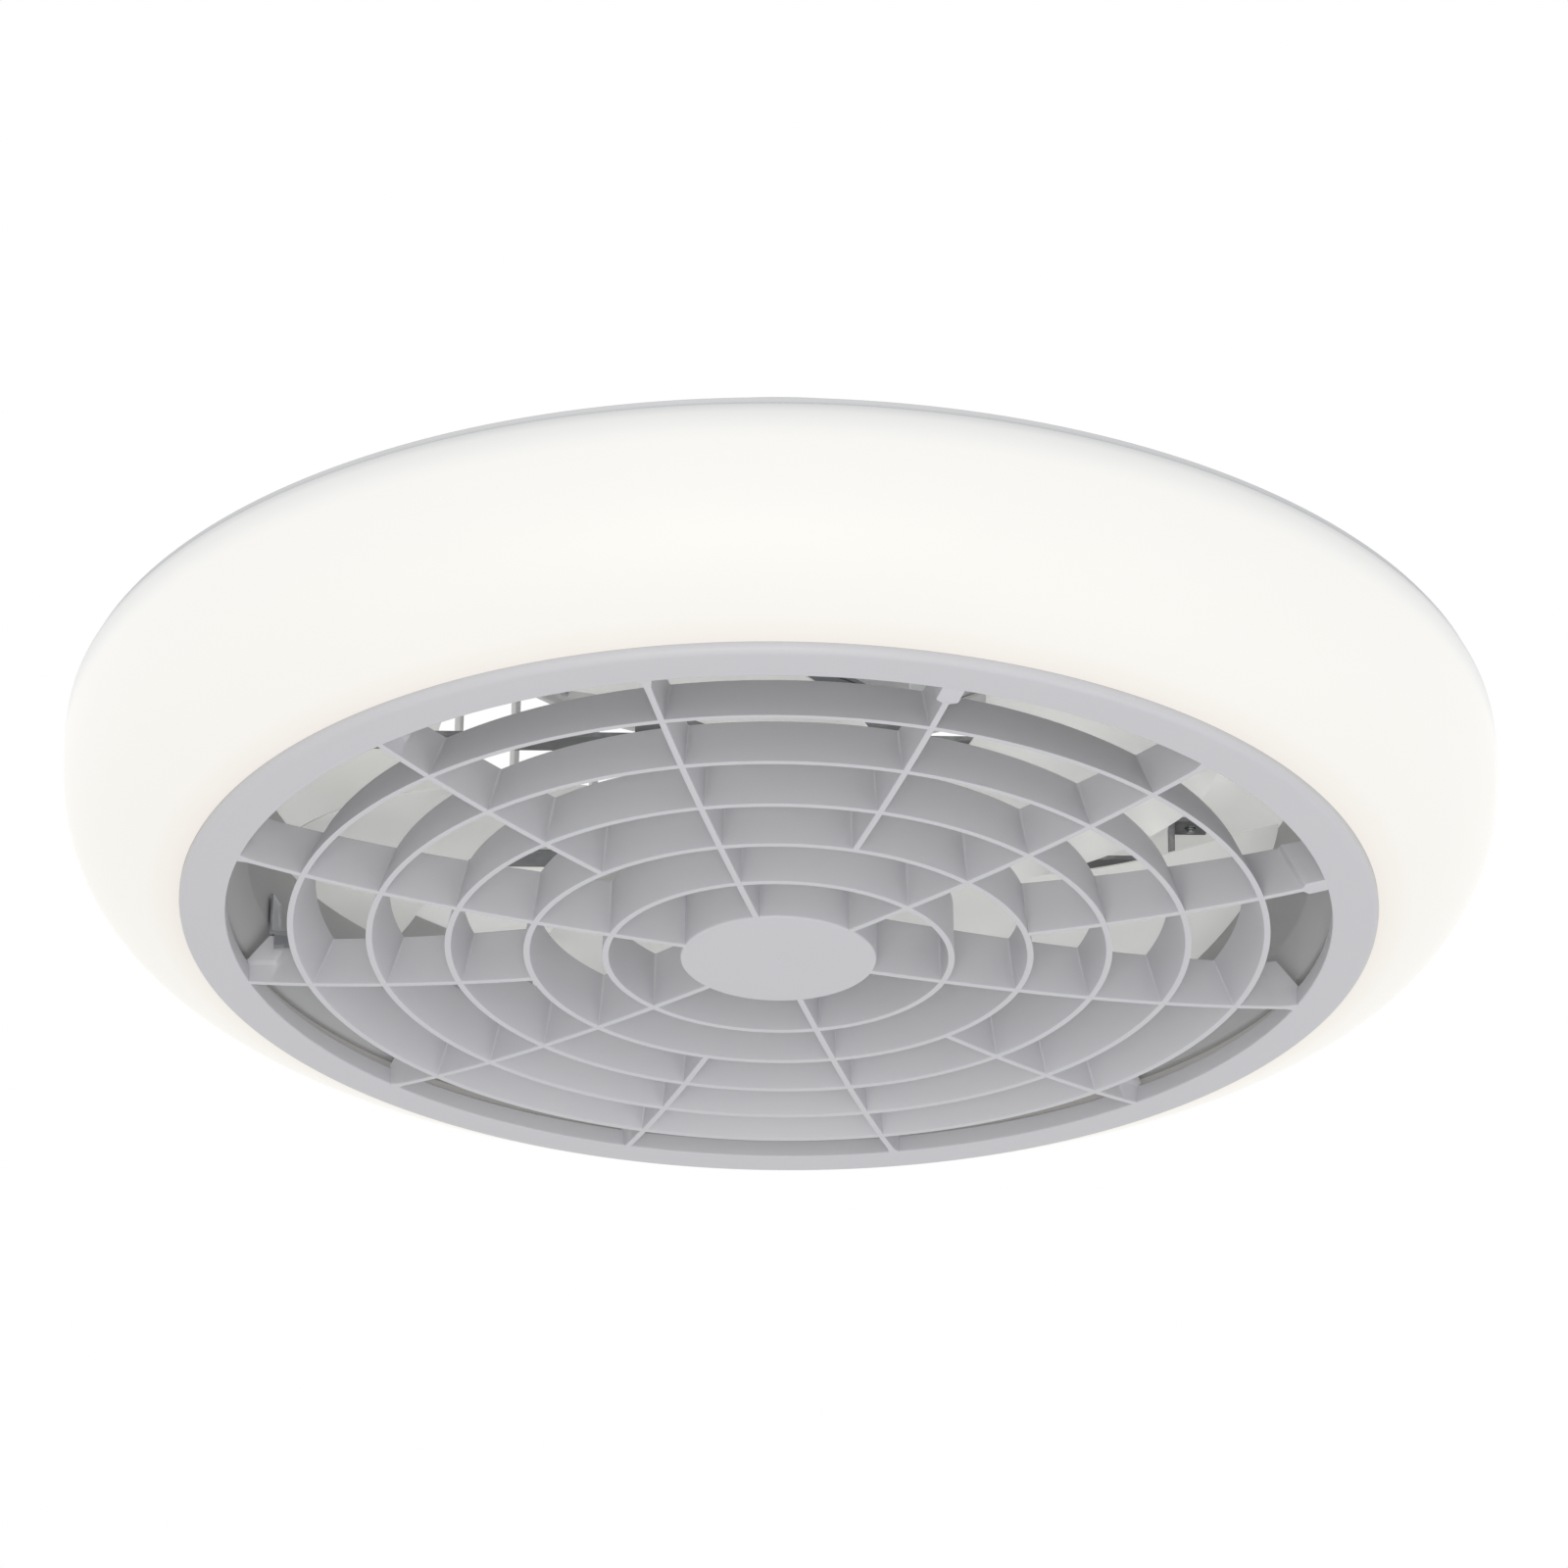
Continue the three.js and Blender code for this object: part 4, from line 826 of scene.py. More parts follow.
low, high = levels("motor_can")
can_middle = (low + high) / 2
can_inner = CAN_RADIUS - CAN_WALL
boss_inner = BEARING_BOSS - BOSS_WALL
can_outline = [
    (CAN_HOLE, low),
    (CAN_RADIUS - CAN_SHOULDER, low),
    (CAN_RADIUS, low + CAN_SHOULDER),
    (CAN_RADIUS, can_middle - 3 * CAN_BEAD),
    (CAN_RADIUS - CAN_BEAD, can_middle - CAN_BEAD),
    (CAN_RADIUS - CAN_BEAD, can_middle + CAN_BEAD),
    (CAN_RADIUS, can_middle + 3 * CAN_BEAD),
    (CAN_RADIUS, high),
    (can_inner, high),
    (can_inner, low + CAN_WALL + CAN_SHOULDER),
    (can_inner - CAN_SHOULDER, low + CAN_WALL),
    (BEARING_BOSS, low + CAN_WALL),
    (BEARING_BOSS, low + CAN_WALL + BEARING_HEIGHT),
    (boss_inner, low + CAN_WALL + BEARING_HEIGHT),
    (boss_inner, low + CAN_WALL),
    (CAN_HOLE, low + CAN_WALL),
]
can_shape = turned(rounded(can_outline, CAN_EDGE), MOTOR_SIDES)
fit("motor_casing", can_shape, "housing", motor_enamel, "motor_can")
low, high = levels("motor_end_cap")
cap_outline = [
    (boss_inner, low),
    (CAN_RADIUS, low),
    (CAN_RADIUS, low + CAN_WALL),
    (BEARING_BOSS + CAP_SLOPE, low + CAN_WALL),
    (BEARING_BOSS, low + 2 * CAN_WALL),
    (BEARING_BOSS, high),
    (CAP_PINHOLE, high),
    (CAP_PINHOLE, high - CAN_WALL),
    (boss_inner, high - CAN_WALL),
]
cap_shape = turned(rounded(cap_outline, CAP_EDGE), MOTOR_SIDES)
fit("motor_cap", cap_shape, "housing", motor_enamel, "motor_end_cap")

# Laminated steel with enamelled copper: thin level layers, and copper in the middle of the stack
stator_metal, stator_tree, stator_inputs = new_material("laminated_stator")
stator_places = on_object(stator_tree)
stator_layers = add_node(
    stator_tree, "ShaderNodeTexWave", Vector=stator_places, Scale=300.0, Distortion=0.4
)
stator_layers.bands_direction = "Z"
stator_mask = between(stator_tree, noise(stator_tree, 60.0, 2.0, Vector=stator_places), 0.45, 0.55)
stator_color = mix_colors(stator_tree, "MIX", stator_mask, LAMINATION, COPPER)
feed(stator_tree, stator_inputs, {"Base Color": stator_color, "Metallic": 0.8, "Roughness": 0.4})
add_bump(stator_tree, stator_inputs, stator_layers.outputs["Color"], 0.08 * MM)
dress("stator_core", stator_metal)

ground_steel = surface("ground_steel", STEEL, grain=0.3 * MM, cloud=0.06, roughness=0.24, metallic=1.0)
for name in ("lower_bearing", "upper_bearing", "motor_shaft"):
    dress(name, ground_steel, 0.2 * MM)

ferrite = surface("ferrite", FERRITE, grain=0.6 * MM, cloud=0.3, roughness=0.6, relief=0.06 * MM)
dress("magnet_rotor", ferrite, 0.3 * MM)

# ----------------------------------------------------------
# Impeller. Moulded in one from pale plastic: a cup-shaped hub with ribs inside and five broad
# swept blades that are pitched and slightly crowned. A washer and a nut hold it on the shaft.
HUB_RADIUS = 44 * MM
HUB_WALL = 3 * MM
HUB_EDGE = 3 * MM
HUB_ROUND = 0.9 * MM
HUB_BORE = 4.3 * MM
HUB_BOSS = 9.3 * MM
HUB_RIBS = 10
HUB_RIB = 1.8 * MM
HUB_HEIGHT = 22 * MM
HUB_RIB_DROP = 4 * MM  # the ribs end below the hub's rim
HUB_SIDES = 120
SMALL_SIDES = 72
BLADE_COUNT = 5
BLADE_TIP = 192 * MM
BLADE_THICKNESS = 2 * MM
BLADE_THINNING = 0.35  # share of its thickness that each skin loses at the blade's edges
THINNING_POWER = 12
BLADE_RISE = 21 * MM
BLADE_SPAN = 48
BLADE_SWEEP = 350  # degrees per metre of radius
BLADE_CAMBER = 3 * MM
FIRST_BLADE = 20
ROOT_SHARE = 0.72
FULL_FROM = 0.35
ROUND_FROM = 0.75
TIP_CUT = 0.16
BLADE_ALONG = 48
BLADE_ACROSS = 32
SEAT = 0.25 * MM  # between two faces that touch
PALE = (0.84, 0.84, 0.81, 1)
BLADE_PAINTED_GLOW = 0.11  # painted glow that stands in for light through the thin plastic; the blades are no lamp

blade_plastic = surface(
    "pale_blade_plastic",
    PALE,
    grain=1.2 * MM,
    cloud=0.05,
    roughness=0.34,
    relief=0.03 * MM,
    dust=0.35,
    glow=BLADE_PAINTED_GLOW,
)

hub_bottom = levels("hub_washer")[1] + SEAT
hub_top = hub_bottom + HUB_HEIGHT


def blade_point(first_angle, share, across, layer):
    """Point of a blade: share runs from hub to tip, across from -0.5 to 0.5, layer is 0 or 1."""
    root = HUB_RADIUS - HUB_WALL / 2
    radius = root + (BLADE_TIP - root) * share
    root_share = ROOT_SHARE + (1 - ROOT_SHARE) * min(1, share / FULL_FROM)
    rounding = max(0, (share - ROUND_FROM) / (1 - ROUND_FROM))
    tip_share = 1 - TIP_CUT * rounding**2
    angle = first_angle + BLADE_SWEEP * (BLADE_TIP - radius) + BLADE_SPAN * across * root_share * tip_share
    middle = hub_bottom + (hub_top - hub_bottom - BLADE_THICKNESS) / 2
    height = middle - (BLADE_RISE - BLADE_THICKNESS) * across * root_share
    crown = BLADE_CAMBER * (1 - (2 * across) ** 2) * min(1, 2 * share)
    nearness = max(abs(2 * across), share if share > 0.5 else 0)
    thinning = BLADE_THINNING * BLADE_THICKNESS * nearness**THINNING_POWER
    lift = thinning if layer == 0 else BLADE_THICKNESS - thinning
    return tuple(polar(angle, radius, height + crown + lift))


def blade(first_angle):
    """Upper and lower skins of a blade, closed along its four edges."""
    shares = [i / BLADE_ALONG for i in range(BLADE_ALONG + 1)]
    acrosses = [math.sin(math.pi * (j / BLADE_ACROSS - 0.5)) / 2 for j in range(BLADE_ACROSS + 1)]
    points = [blade_point(first_angle, s, a, n) for n in (0, 1) for s in shares for a in acrosses]
    row = len(acrosses)
    upper = row * len(shares)
    faces = []
    for i in range(BLADE_ALONG):
        for j in range(BLADE_ACROSS):
            a = i * row + j
            faces.append((a, a + 1, a + row + 1, a + row))
            faces.append((upper + a, upper + a + row, upper + a + row + 1, upper + a + 1))
        for a in (i * row, i * row + BLADE_ACROSS):
            faces.append((a, a + row, upper + a + row, upper + a))
    for first in (0, BLADE_ALONG * row):
        for a in range(first, first + BLADE_ACROSS):
            faces.append((a, a + 1, upper + a + 1, upper + a))
    return points, faces


hub_outline = [
    (HUB_BORE, hub_bottom),
    (HUB_RADIUS - HUB_EDGE, hub_bottom),
    (HUB_RADIUS, hub_bottom + HUB_EDGE),
    (HUB_RADIUS, hub_top),
    (HUB_RADIUS - HUB_WALL, hub_top),
    (HUB_RADIUS - HUB_WALL, hub_bottom + HUB_WALL),
    (HUB_BOSS, hub_bottom + HUB_WALL),
    (HUB_BOSS, hub_top),
    (HUB_BORE, hub_top),
]
wheel_shapes = [turned(rounded(hub_outline, HUB_ROUND), HUB_SIDES)]
rib_outer = HUB_RADIUS - HUB_WALL / 2
hub_rib = rectangle(rib_outer - HUB_BOSS, HUB_RIB, 0.4 * MM)
rib_ends = hub_bottom + HUB_WALL / 2, hub_top - HUB_RIB_DROP
for i in range(HUB_RIBS):
    angle = i * 360 / HUB_RIBS
    wheel_shapes.append(prism(hub_rib, *rib_ends, polar(angle, (rib_outer + HUB_BOSS) / 2), angle))
wheel_shapes += [blade(FIRST_BLADE + i * 360 / BLADE_COUNT) for i in range(BLADE_COUNT)]
fit("fan_wheel", merged(wheel_shapes), "rotor", blade_plastic, "impeller")

WASHER_RADIUS = 10 * MM
WASHER_BORE = 4.25 * MM
NUT_RADIUS = 8 * MM
NUT_CHAMFER = 0.8 * MM
WASHER_EDGE = 0.3 * MM
NUT_SIDES = 96
washer_outline = band(WASHER_BORE, WASHER_RADIUS, *levels("hub_washer"))
washer_shape = turned(rounded(washer_outline, WASHER_EDGE), SMALL_SIDES)
fit("washer", washer_shape, "rotor", zinc_plate, "hub_washer")


def hex_nut(radius, bore, low, high, chamfer):
    """Hexagon nut with turned corners and a countersunk bore."""
    flat = radius * math.cos(math.pi / 6)
    rings = []
    for i in range(NUT_SIDES):
        angle = 2 * math.pi * i / NUT_SIDES
        to_flat = (angle + math.pi / 6) % (math.pi / 3) - math.pi / 6
        hexagon = flat / math.cos(to_flat)
        rise = chamfer * (hexagon - flat) / (radius - flat)
        half = [(bore, 0.5 * chamfer), (bore + 0.5 * chamfer, 0), (flat, 0), (hexagon, rise)]
        ring = [(r, low + z) for r, z in half] + [(r, high - z) for r, z in reversed(half)]
        rings.append([(r * math.cos(angle), r * math.sin(angle), z) for r, z in ring])
    return skin(rings, closed=True)


nut_shape = hex_nut(NUT_RADIUS, WASHER_BORE, *levels("spinner_nut"), NUT_CHAMFER)
fit("nut", nut_shape, "rotor", zinc_plate, "spinner_nut")

# ----------------------------------------------------------
# Grille. The guard is moulded in one from satin grey plastic: a frame with a short upright lip, five
# rings, twelve spokes and a flat middle disc. Its ribs lean inward towards the rim. The short spokes
# end in a broad boss, and three bent clips of zinc-plated spring steel grip the inside of the duct.
GRILLE_RADIUS = 228.1 * MM
GRILLE_OPENING = 210.5 * MM
DISC_RADIUS = 37.4 * MM
DISC_THICKNESS = 3 * MM
DISC_EDGE = 1.1 * MM
DISC_SIDES = 144
RING_RADII = [(65.9 + 30 * i) * MM for i in range(5)]
SPOKE_PAIRS = 6
SHORT_SPOKES_FROM = 1  # ring, counted from 0
SPOKE_STEPS = 40
FIRST_SPOKE = -103.19
RIB = 2.5 * MM
RIB_TOP = 2.1 * MM
RIB_EDGE = 0.35 * MM
DEPTH_AT_AXIS = 24.6 * MM
DEPTH_AT_RIM = 17.3 * MM
UPRIGHT_INSIDE = 60 * MM
RIM_LEAN = 28
DISH_RISE = 13.3 * MM
FRAME_THICKNESS = 3 * MM
ROUND_STEPS = 8
FRAME_LIP = 7.5 * MM
FRAME_RISE = 0.6 * MM  # of its nearly flat lower face, from the opening out to the edge
FRAME_ROUND = 3 * MM  # on its outer lower edge
FRAME_EDGE = 0.8 * MM  # on its other edges
BOSS_HALF = 4.2 * MM
BOSS_FROM = 201.5 * MM
BOSS_RAMP = 2.2 * MM
RAMP_STEPS = 6
BOSS_RECESS = (0.3, 0.5)  # most bosses widen between these shares of the rib's depth
FULL_BOSSES = (1, 3)  # these reach the lower face
FILLET = 0.8 * MM
FILLET_STEPS = 4
FILLET_ROOT = 0.9  # share of the rib's half width at which a fillet starts
FILLET_ENDS = (0.04, 0.96)  # shares of a rib's depth, for its lean
FRAME_FILLET = 1.6 * MM
PINHOLE = 0.05 * MM  # left open at the axis
GRILLE_GREY = (0.553, 0.553, 0.578, 1)
grille_low = levels("grille")[0]
grille_plastic = surface(
    "satin_grey_plastic", GRILLE_GREY, grain=0.7 * MM, cloud=0.035, roughness=0.46, relief=0.05 * MM
)


def dish(radius):
    """Height of the grille's lower face at a radius."""
    return grille_low + DISH_RISE * (radius / GRILLE_RADIUS) ** 3


def rib_top(radius):
    """Height of the ribs' upper edges at a radius."""
    return dish(radius) + DEPTH_AT_AXIS + (DEPTH_AT_RIM - DEPTH_AT_AXIS) * radius / GRILLE_RADIUS


def lean(radius):
    """How far a rib's upper edge lies inside its lower edge."""
    share = max(0.0, radius - UPRIGHT_INSIDE) / (GRILLE_OPENING - UPRIGHT_INSIDE)
    return (rib_top(radius) - dish(radius)) * math.tan(math.radians(RIM_LEAN * share))


def ring_rib(radius):
    """One of the rings, with its upper edge leaning inward."""
    top = radius - lean(radius)
    outline = [
        (radius - RIB / 2, dish(radius)),
        (radius + RIB / 2, dish(radius)),
        (top + RIB_TOP / 2, rib_top(radius)),
        (top - RIB_TOP / 2, rib_top(radius)),
    ]
    return turned(rounded(outline, RIB_EDGE), FINE_SIDES)


def frame_ring():
    """Frame round the opening, with its lip upright at the inside."""
    inner = GRILLE_OPENING
    low = dish(inner)
    edge = [(inner, low)]
    for i in range(ROUND_STEPS + 1):
        turn = math.pi / 2 * i / ROUND_STEPS
        r = GRILLE_RADIUS - FRAME_ROUND * (1 - math.sin(turn))
        edge.append((r, low + FRAME_RISE + FRAME_ROUND * (1 - math.cos(turn))))
    top = [(GRILLE_RADIUS, grille_low + DISH_RISE + FRAME_THICKNESS), (inner + RIB, low + FRAME_THICKNESS)]
    lip = [(inner + RIB, low + FRAME_LIP), (inner, low + FRAME_LIP)]
    return turned(rounded(edge + top + lip, FRAME_EDGE), FINE_SIDES)


def middle_disc():
    """Flat disc with a wall as deep as the ribs round it."""
    wall_top = rib_top(DISC_RADIUS)
    outline = [
        (PINHOLE, grille_low),
        (DISC_RADIUS, grille_low),
        (DISC_RADIUS, wall_top),
        (DISC_RADIUS - RIB_TOP, wall_top),
        (DISC_RADIUS - RIB, grille_low + DISC_THICKNESS),
        (PINHOLE, grille_low + DISC_THICKNESS),
    ]
    return turned(rounded(outline, DISC_EDGE), DISC_SIDES)


def spoke_rib(angle, inner, outer, boss, recessed):
    """Upright plate along a radius. It widens where it meets the frame, into a boss or a fillet."""
    stations = [inner + (outer - inner) * i / SPOKE_STEPS for i in range(SPOKE_STEPS + 1)]
    stations = sorted(stations + [BOSS_FROM + BOSS_RAMP * i / RAMP_STEPS for i in range(RAMP_STEPS + 1)])
    lip = FRAME_LIP / (rib_top(outer) - dish(outer))
    step = sum(BOSS_RECESS) / 2
    section = [(-1, 0), (1, 0), (1, step), (1, lip), (1, 1), (-1, 1), (-1, lip), (-1, step)]
    section = rounded(section, 0.04)
    across = Vector((-math.sin(math.radians(angle)), math.cos(math.radians(angle)), 0))
    rings = []
    for radius in stations:
        if boss:
            ramp = min(1.0, max(0.0, (radius - BOSS_FROM) / BOSS_RAMP))
            widening = (BOSS_HALF - RIB / 2) * ramp * ramp * (3 - 2 * ramp)
        else:
            widening = FRAME_FILLET * math.exp(-max(0.0, GRILLE_OPENING - radius) / FRAME_FILLET)
        depth = rib_top(radius) - dish(radius)
        ring = []
        for side, share in section:
            edge = min(share, 1 - share) * depth
            corner = math.sqrt(max(0.0, 1 - (1 - min(1.0, edge / RIB_EDGE)) ** 2))
            rise = (share - BOSS_RECESS[0]) / (BOSS_RECESS[1] - BOSS_RECESS[0]) if recessed else 1
            half = RIB / 2 + widening * min(1, max(0, rise))
            width = (half - RIB_EDGE) + RIB_EDGE * corner
            taper = 1 - (1 - RIB_TOP / RIB) * share
            leaning = (share - lip) / (1 - lip) if radius == outer else share
            place = polar(angle, radius - lean(radius) * max(0, leaning), dish(radius) + depth * share)
            sideways = math.copysign(1, side) if abs(side) > 0.9 else side
            ring.append(place + across * sideways * width * taper)
        rings.append(ring)
    return skin(rings)


def crossing_fillet(angle, radius, ends_here):
    """Concave fillets in the corners where a ring meets a spoke, as one leaning star or half star."""
    half = FILLET_ROOT * RIB / 2
    outline = [Vector((0, half)), Vector((0, -half))] if ends_here else []
    for quadrant in (3, 0) if ends_here else range(4):
        turn = Matrix.Rotation(quadrant * math.pi / 2, 2)
        for i in range(FILLET_STEPS + 1):
            t = math.pi / 2 * i / FILLET_STEPS
            corner = Vector((half + FILLET * (1 - math.sin(t)), half + FILLET * (1 - math.cos(t))))
            outline.append(turn @ corner)
    outward = polar(angle, 1)
    across = Vector((-outward.y, outward.x, 0))
    ends = dish(radius) + RIB_EDGE, rib_top(radius) - RIB_EDGE
    rings = []
    for z, share in zip(ends, FILLET_ENDS):
        centre = polar(angle, radius - lean(radius) * share, z)
        rings.append([centre + outward * x + across * y for x, y in outline])
    return skin(rings)


grille_shapes = [frame_ring(), middle_disc()] + [ring_rib(radius) for radius in RING_RADII]
wall_middle = GRILLE_OPENING + RIB / 2
for i in range(2 * SPOKE_PAIRS):
    angle = FIRST_SPOKE + i * 180 / SPOKE_PAIRS
    short = i % 2 == 1
    start = RING_RADII[SHORT_SPOKES_FROM] if short else DISC_RADIUS - RIB / 2
    grille_shapes.append(spoke_rib(angle, start, wall_middle, short, short and i not in FULL_BOSSES))
    for radius in RING_RADII[SHORT_SPOKES_FROM if short else 0 :]:
        grille_shapes.append(crossing_fillet(angle, radius, short and radius == start))
fit("guard_grille", merged(grille_shapes), "guard", grille_plastic, "grille")
for i in (1, 2, 3):
    dress(f"grille_clip_{i}", zinc_plate, SHEET_EDGE)

# ----------------------------------------------------------
# Screws. Zinc-plated steel with a pan head, a cross recess and a rolled thread, in three lengths.
# They hold the sheets, the mouldings and the motor together, and the two at the canopy's sides hang
# the fan on its bracket.
SCREW_HEAD = 3.4 * MM
SCREW_RISE = 1.9 * MM
SCREW_SHANK = 1.7 * MM
SCREW_POINT = 0.55  # share of the shank's radius
HEAD_STEPS = 8
HEAD_POWER = 0.6
HEAD_RIM = 0.25  # share of the head's rise that stands upright
THREAD_PITCH = 0.9 * MM
THREAD_ROOT = 0.8  # share of the shank's radius
THREAD_CREST = 0.4  # shares of the pitch at which a turn's crest ends and its root lies
THREAD_VALLEY = 0.8
RECESS_REACH = 1.9 * MM
RECESS_WIDTH = 0.75 * MM
RECESS_DEPTH = 1.2 * MM
RECESS_CORNER = 0.2 * MM
SCREW_SIDES = 40
SCREW_TURN = 37  # degrees from one screw's recess to the next one's


def screw_mesh(name, length):
    """Pan-head screw along +Z with its head seated at z = 0, threaded below, with a cross recess."""
    outline = [(PINHOLE, SCREW_RISE)]
    for i in range(HEAD_STEPS + 1):
        t = math.pi / 2 * (1 - i / HEAD_STEPS)
        rise = SCREW_RISE * (HEAD_RIM + (1 - HEAD_RIM) * math.sin(t))
        outline.append((SCREW_HEAD * math.cos(t) ** HEAD_POWER, rise))
    outline += [(SCREW_HEAD, 0), (SCREW_SHANK, 0)]
    turns = int(length / THREAD_PITCH)
    for i in range(turns):
        top = -length * i / turns
        outline.append((SCREW_SHANK, top - THREAD_PITCH * THREAD_CREST))
        outline.append((SCREW_SHANK * THREAD_ROOT, top - THREAD_PITCH * THREAD_VALLEY))
    outline += [(SCREW_SHANK * SCREW_POINT, -length), (PINHOLE, -length)]
    solid = show(name, shaded(name, *turned(list(reversed(outline)), SCREW_SIDES)))
    bar = rectangle(2 * RECESS_REACH, RECESS_WIDTH, RECESS_CORNER)
    bars = [prism(bar, SCREW_RISE - RECESS_DEPTH, SCREW_RISE + MM, turn_degrees=turn) for turn in (0, 90)]
    cutters = [show("recess", shaded("recess", *shape)) for shape in bars]
    for cutter in cutters:
        carve = solid.modifiers.new("recess", "BOOLEAN")
        carve.operation = "DIFFERENCE"
        carve.solver = "EXACT"
        carve.object = cutter
    bpy.context.view_layer.update()
    finished = bpy.data.meshes.new_from_object(solid.evaluated_get(bpy.context.evaluated_depsgraph_get()))
    for thing in (solid, *cutters):
        bpy.data.objects.remove(thing)
    finished.shade_smooth()
    finished.set_sharp_from_angle(angle=math.radians(SHARP))
    finished.materials.append(zinc_plate)
    return finished


short_screw, long_screw, side_screw = (
    screw_mesh(name, length)
    for name, length in (("short_screw", 6 * MM), ("long_screw", 7 * MM), ("side_screw", 9 * MM))
)
SCREW_GROUPS = [
    # node name, how many, mesh, head up
    ("deck_screw", 4, short_screw, True),
    ("cage_screw", 4, long_screw, True),
    ("duct_screw", 3, short_screw, True),
    ("shade_screw", 3, long_screw, False),
    ("cradle_screw", 4, short_screw, True),
    ("plate_screw", 4, short_screw, True),
    ("motor_screw", 4, short_screw, False),
]
for group, count, mesh, head_up in SCREW_GROUPS:
    for i in range(1, count + 1):
        node = f"{group}_{i}"
        low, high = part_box(node)
        seat = high.z - SCREW_RISE if head_up else low.z + SCREW_RISE
        place = ((low.x + high.x) / 2, (low.y + high.y) / 2, seat)
        turn = (0 if head_up else math.pi, 0, math.radians(SCREW_TURN * i))
        fit(f"{node}_pan_head", mesh, "housing", zinc_plate, node, place, turn)
for i, side in ((1, 1), (2, -1)):
    node = f"canopy_screw_{i}"
    low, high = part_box(node)
    seat = high.x - SCREW_RISE if side > 0 else low.x + SCREW_RISE
    place = (seat, (low.y + high.y) / 2, (low.z + high.z) / 2)
    turn = (0, side * math.pi / 2, 0)
    fit(f"{node}_pan_head", side_screw, "housing", zinc_plate, node, place, turn)

# ----------------------------------------------------------
# Electronics. The power supply and the controller are two-part boxes of white moulded plastic that
# hang under the deck. A terminal block stands on the deck, and a rubber grommet lines its hole.
LID_SHARE = 0.3
LID_PROUD = 0.5 * MM
LID_EDGE = 0.5 * MM
CASE_EDGE = 0.8 * MM
BOX_CORNER = 3 * MM
VENT_COUNT = 9
VENT_WIDTH = 2.4 * MM
VENT_CORNER = 0.3 * MM
VENT_SPREAD = 0.7  # share of the case's length
VENT_FROM = 4 * MM  # above the case's bottom
VENT_TO = 1 * MM  # below the seam
BOX_WHITE = (0.78, 0.785, 0.79, 1)
BLACK_RUBBER = (0.022, 0.022, 0.024, 1)

box_plastic = surface(
    "electronics_box_plastic", BOX_WHITE, grain=0.6 * MM, cloud=0.04, roughness=0.55, relief=0.08 * MM
)
rubber = surface(
    "black_rubber", BLACK_RUBBER, grain=0.8 * MM, cloud=0.3, roughness=0.72, relief=0.05 * MM
)


def electronics_box(node):
    """Case, proud lid, seam between them and a row of ribs along both long sides."""
    low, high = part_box(node)
    middle = (low + high) / 2
    size = high - low
    seam = low.z + size.z * (1 - LID_SHARE)
    case = rectangle(size.x - 2 * LID_PROUD, size.y - 2 * LID_PROUD, BOX_CORNER)
    lid = rectangle(size.x, size.y, BOX_CORNER)
    place = (middle.x, middle.y, 0)
    shapes = [
        prism(case, low.z, seam, place, edge=CASE_EDGE),
        prism(lid, seam, high.z, place, edge=LID_EDGE),
    ]
    rib = rectangle(VENT_WIDTH, LID_PROUD * 2, VENT_CORNER)
    for i in range(VENT_COUNT):
        x = middle.x + size.x * VENT_SPREAD * (i / (VENT_COUNT - 1) - 0.5)
        for side in (-1, 1):
            y = middle.y + side * (size.y / 2 - LID_PROUD)
            shapes.append(prism(rib, low.z + VENT_FROM, seam - VENT_TO, (x, y, 0)))
    return merged(shapes)


for name, node in (("power_supply", "led_driver"), ("controller_box", "fan_controller")):
    fit(name, electronics_box(node), "housing", box_plastic, node)

TERMINAL_POLES = (-10 * MM, 0.0, 10 * MM)
TERMINAL_CORNER = 1.5 * MM
TERMINAL_EDGE = 0.4 * MM
STEP_SHARE = 0.55  # of the block's depth
STEP_HEIGHT = 3 * MM
STEP_SINK = 0.2 * MM  # into the base
WELL_RADIUS = 3 * MM
WELL_WALL = 0.8 * MM
WELL_EDGE = 0.2 * MM
WELL_RISE = 1.5 * MM
WELL_SIDES = 32
low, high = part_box("terminal_block")
middle, size = (low + high) / 2, high - low
terminal_base = rectangle(size.x, size.y, TERMINAL_CORNER)
terminal_step = rectangle(size.x, size.y * STEP_SHARE, TERMINAL_CORNER)
place = (middle.x, middle.y, 0)
base_top = high.z - STEP_HEIGHT
terminal_shapes = [
    prism(terminal_base, low.z, base_top, place, edge=TERMINAL_EDGE),
    prism(terminal_step, base_top - STEP_SINK, high.z, place, edge=TERMINAL_EDGE),
]
well_outline = band(WELL_RADIUS - WELL_WALL, WELL_RADIUS, high.z - WELL_RISE, high.z)
well_points, well_faces = turned(rounded(well_outline, WELL_EDGE, 2), WELL_SIDES)
for pole in TERMINAL_POLES:
    shift = Vector((middle.x + pole, middle.y, 0))
    terminal_shapes.append(([tuple(Vector(point) + shift) for point in well_points], well_faces))
fit("wire_terminals", merged(terminal_shapes), "housing", white_moulding, "terminal_block")

GROMMET_RADIUS = 9 * MM
GROMMET_NECK = 7 * MM
GROMMET_BORE = 5.5 * MM
GROMMET_EDGE = 0.9 * MM
low, high = levels("cable_grommet")
grommet_outline = [
    (GROMMET_BORE, low),
    (GROMMET_NECK, low),
    (GROMMET_NECK, deck_top + SEAT),
    (GROMMET_RADIUS, deck_top + SEAT),
    (GROMMET_RADIUS, high),
    (GROMMET_BORE, high),
]
grommet_shape = turned(rounded(grommet_outline, GROMMET_EDGE), SMALL_SIDES)
fit("grommet", grommet_shape, "housing", rubber, "cable_grommet")

# ----------------------------------------------------------
# Inner leads. Two round black cables, 4.4 mm thick: one climbs from the motor's end cap through the
# grommet, and one runs from the lamp board over the pan and through a cage window to its supply.
LEAD_RADIUS = 2.2 * MM
LEAD_SIDES = 16
LEAD_STEP = 1.5 * MM


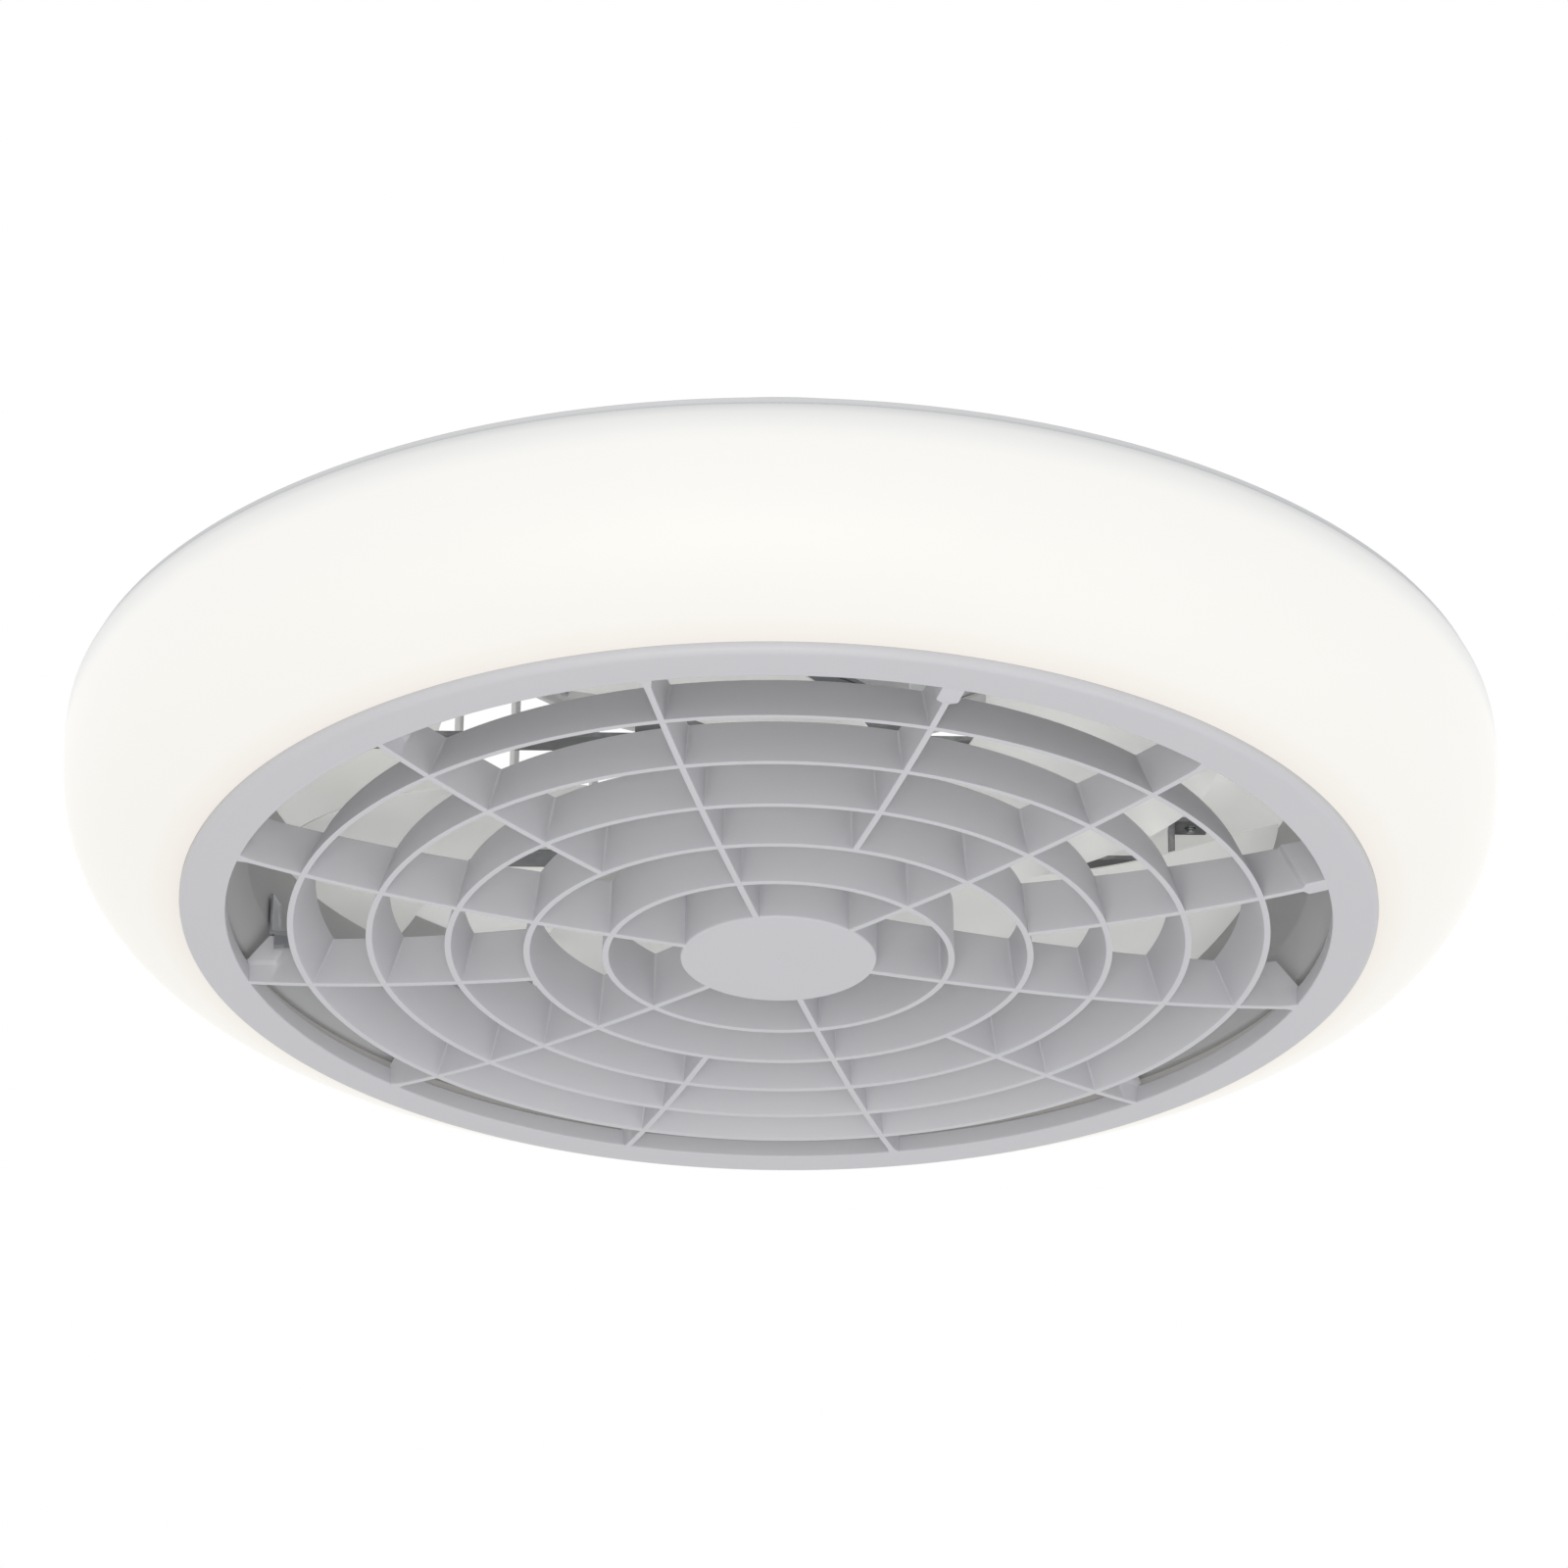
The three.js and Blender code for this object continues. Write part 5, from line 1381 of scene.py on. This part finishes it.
def lead_curve(points):
    """Smooth centreline through points given in millimetres above the grille's lowest point."""
    places = [Vector(point) * MM + Vector((0, 0, grille_low)) for point in points]
    places = [2 * places[0] - places[1], *places, 2 * places[-1] - places[-2]]
    line = []
    for span in zip(places, places[1:], places[2:], places[3:]):
        knots = [0.0]
        for start, end in zip(span, span[1:]):
            knots.append(knots[-1] + max(1e-6, (end - start).length ** 0.5))
        steps = max(2, round((span[2] - span[1]).length / LEAD_STEP))
        for i in range(steps):
            t = knots[1] + (knots[2] - knots[1]) * i / steps
            blends = span
            for reach in (1, 2):
                shares = [(t - knots[k]) / (knots[k + reach] - knots[k]) for k in range(4 - reach)]
                blends = [a.lerp(b, share) for a, b, share in zip(blends, blends[1:], shares)]
            line.append(blends[0].lerp(blends[1], i / steps))
    return line + [places[-2]]


def tube(line, radius, sides):
    """Closed round tube along a line, its section carried along without twist."""
    rings = []
    side = (line[1] - line[0]).normalized().orthogonal().normalized()
    for i, place in enumerate(line):
        ahead = line[min(i + 1, len(line) - 1)] - line[max(i - 1, 0)]
        ahead.normalize()
        side = (side - ahead * side.dot(ahead)).normalized()
        other = ahead.cross(side)
        turns = [2 * math.pi * j / sides for j in range(sides)]
        rings.append([place + (side * math.cos(turn) + other * math.sin(turn)) * radius for turn in turns])
    return skin(rings)


MOTOR_LEAD_ROUTE = [
    (0, -28, 102.8),
    (0, -28, 114.55),
    (-4, -18, 128.55),
    (0, 0, 148.15),
    (0, 0, 162.15),
    (0, 0, 173.75),
]
LAMP_LEAD_ROUTE = [
    (-219.35, -26.93, 85.4),
    (-219.35, -26.93, 90.35),
    (-207.35, -25.93, 93.35),
    (-167.93, -18.43, 94.35),
    (-145.93, -17.43, 101.8),
    (-116.13, -14.26, 107.8),
    (-78, 22, 146.15),
    (-60, 30, 152.15),
    (-53, 30, 152.15),
]
for name, route in (("motor_lead", MOTOR_LEAD_ROUTE), ("lamp_lead", LAMP_LEAD_ROUTE)):
    shape = tube(lead_curve(route), LEAD_RADIUS, LEAD_SIDES)
    fit(f"{name}_cable", shape, "housing", rubber, name)
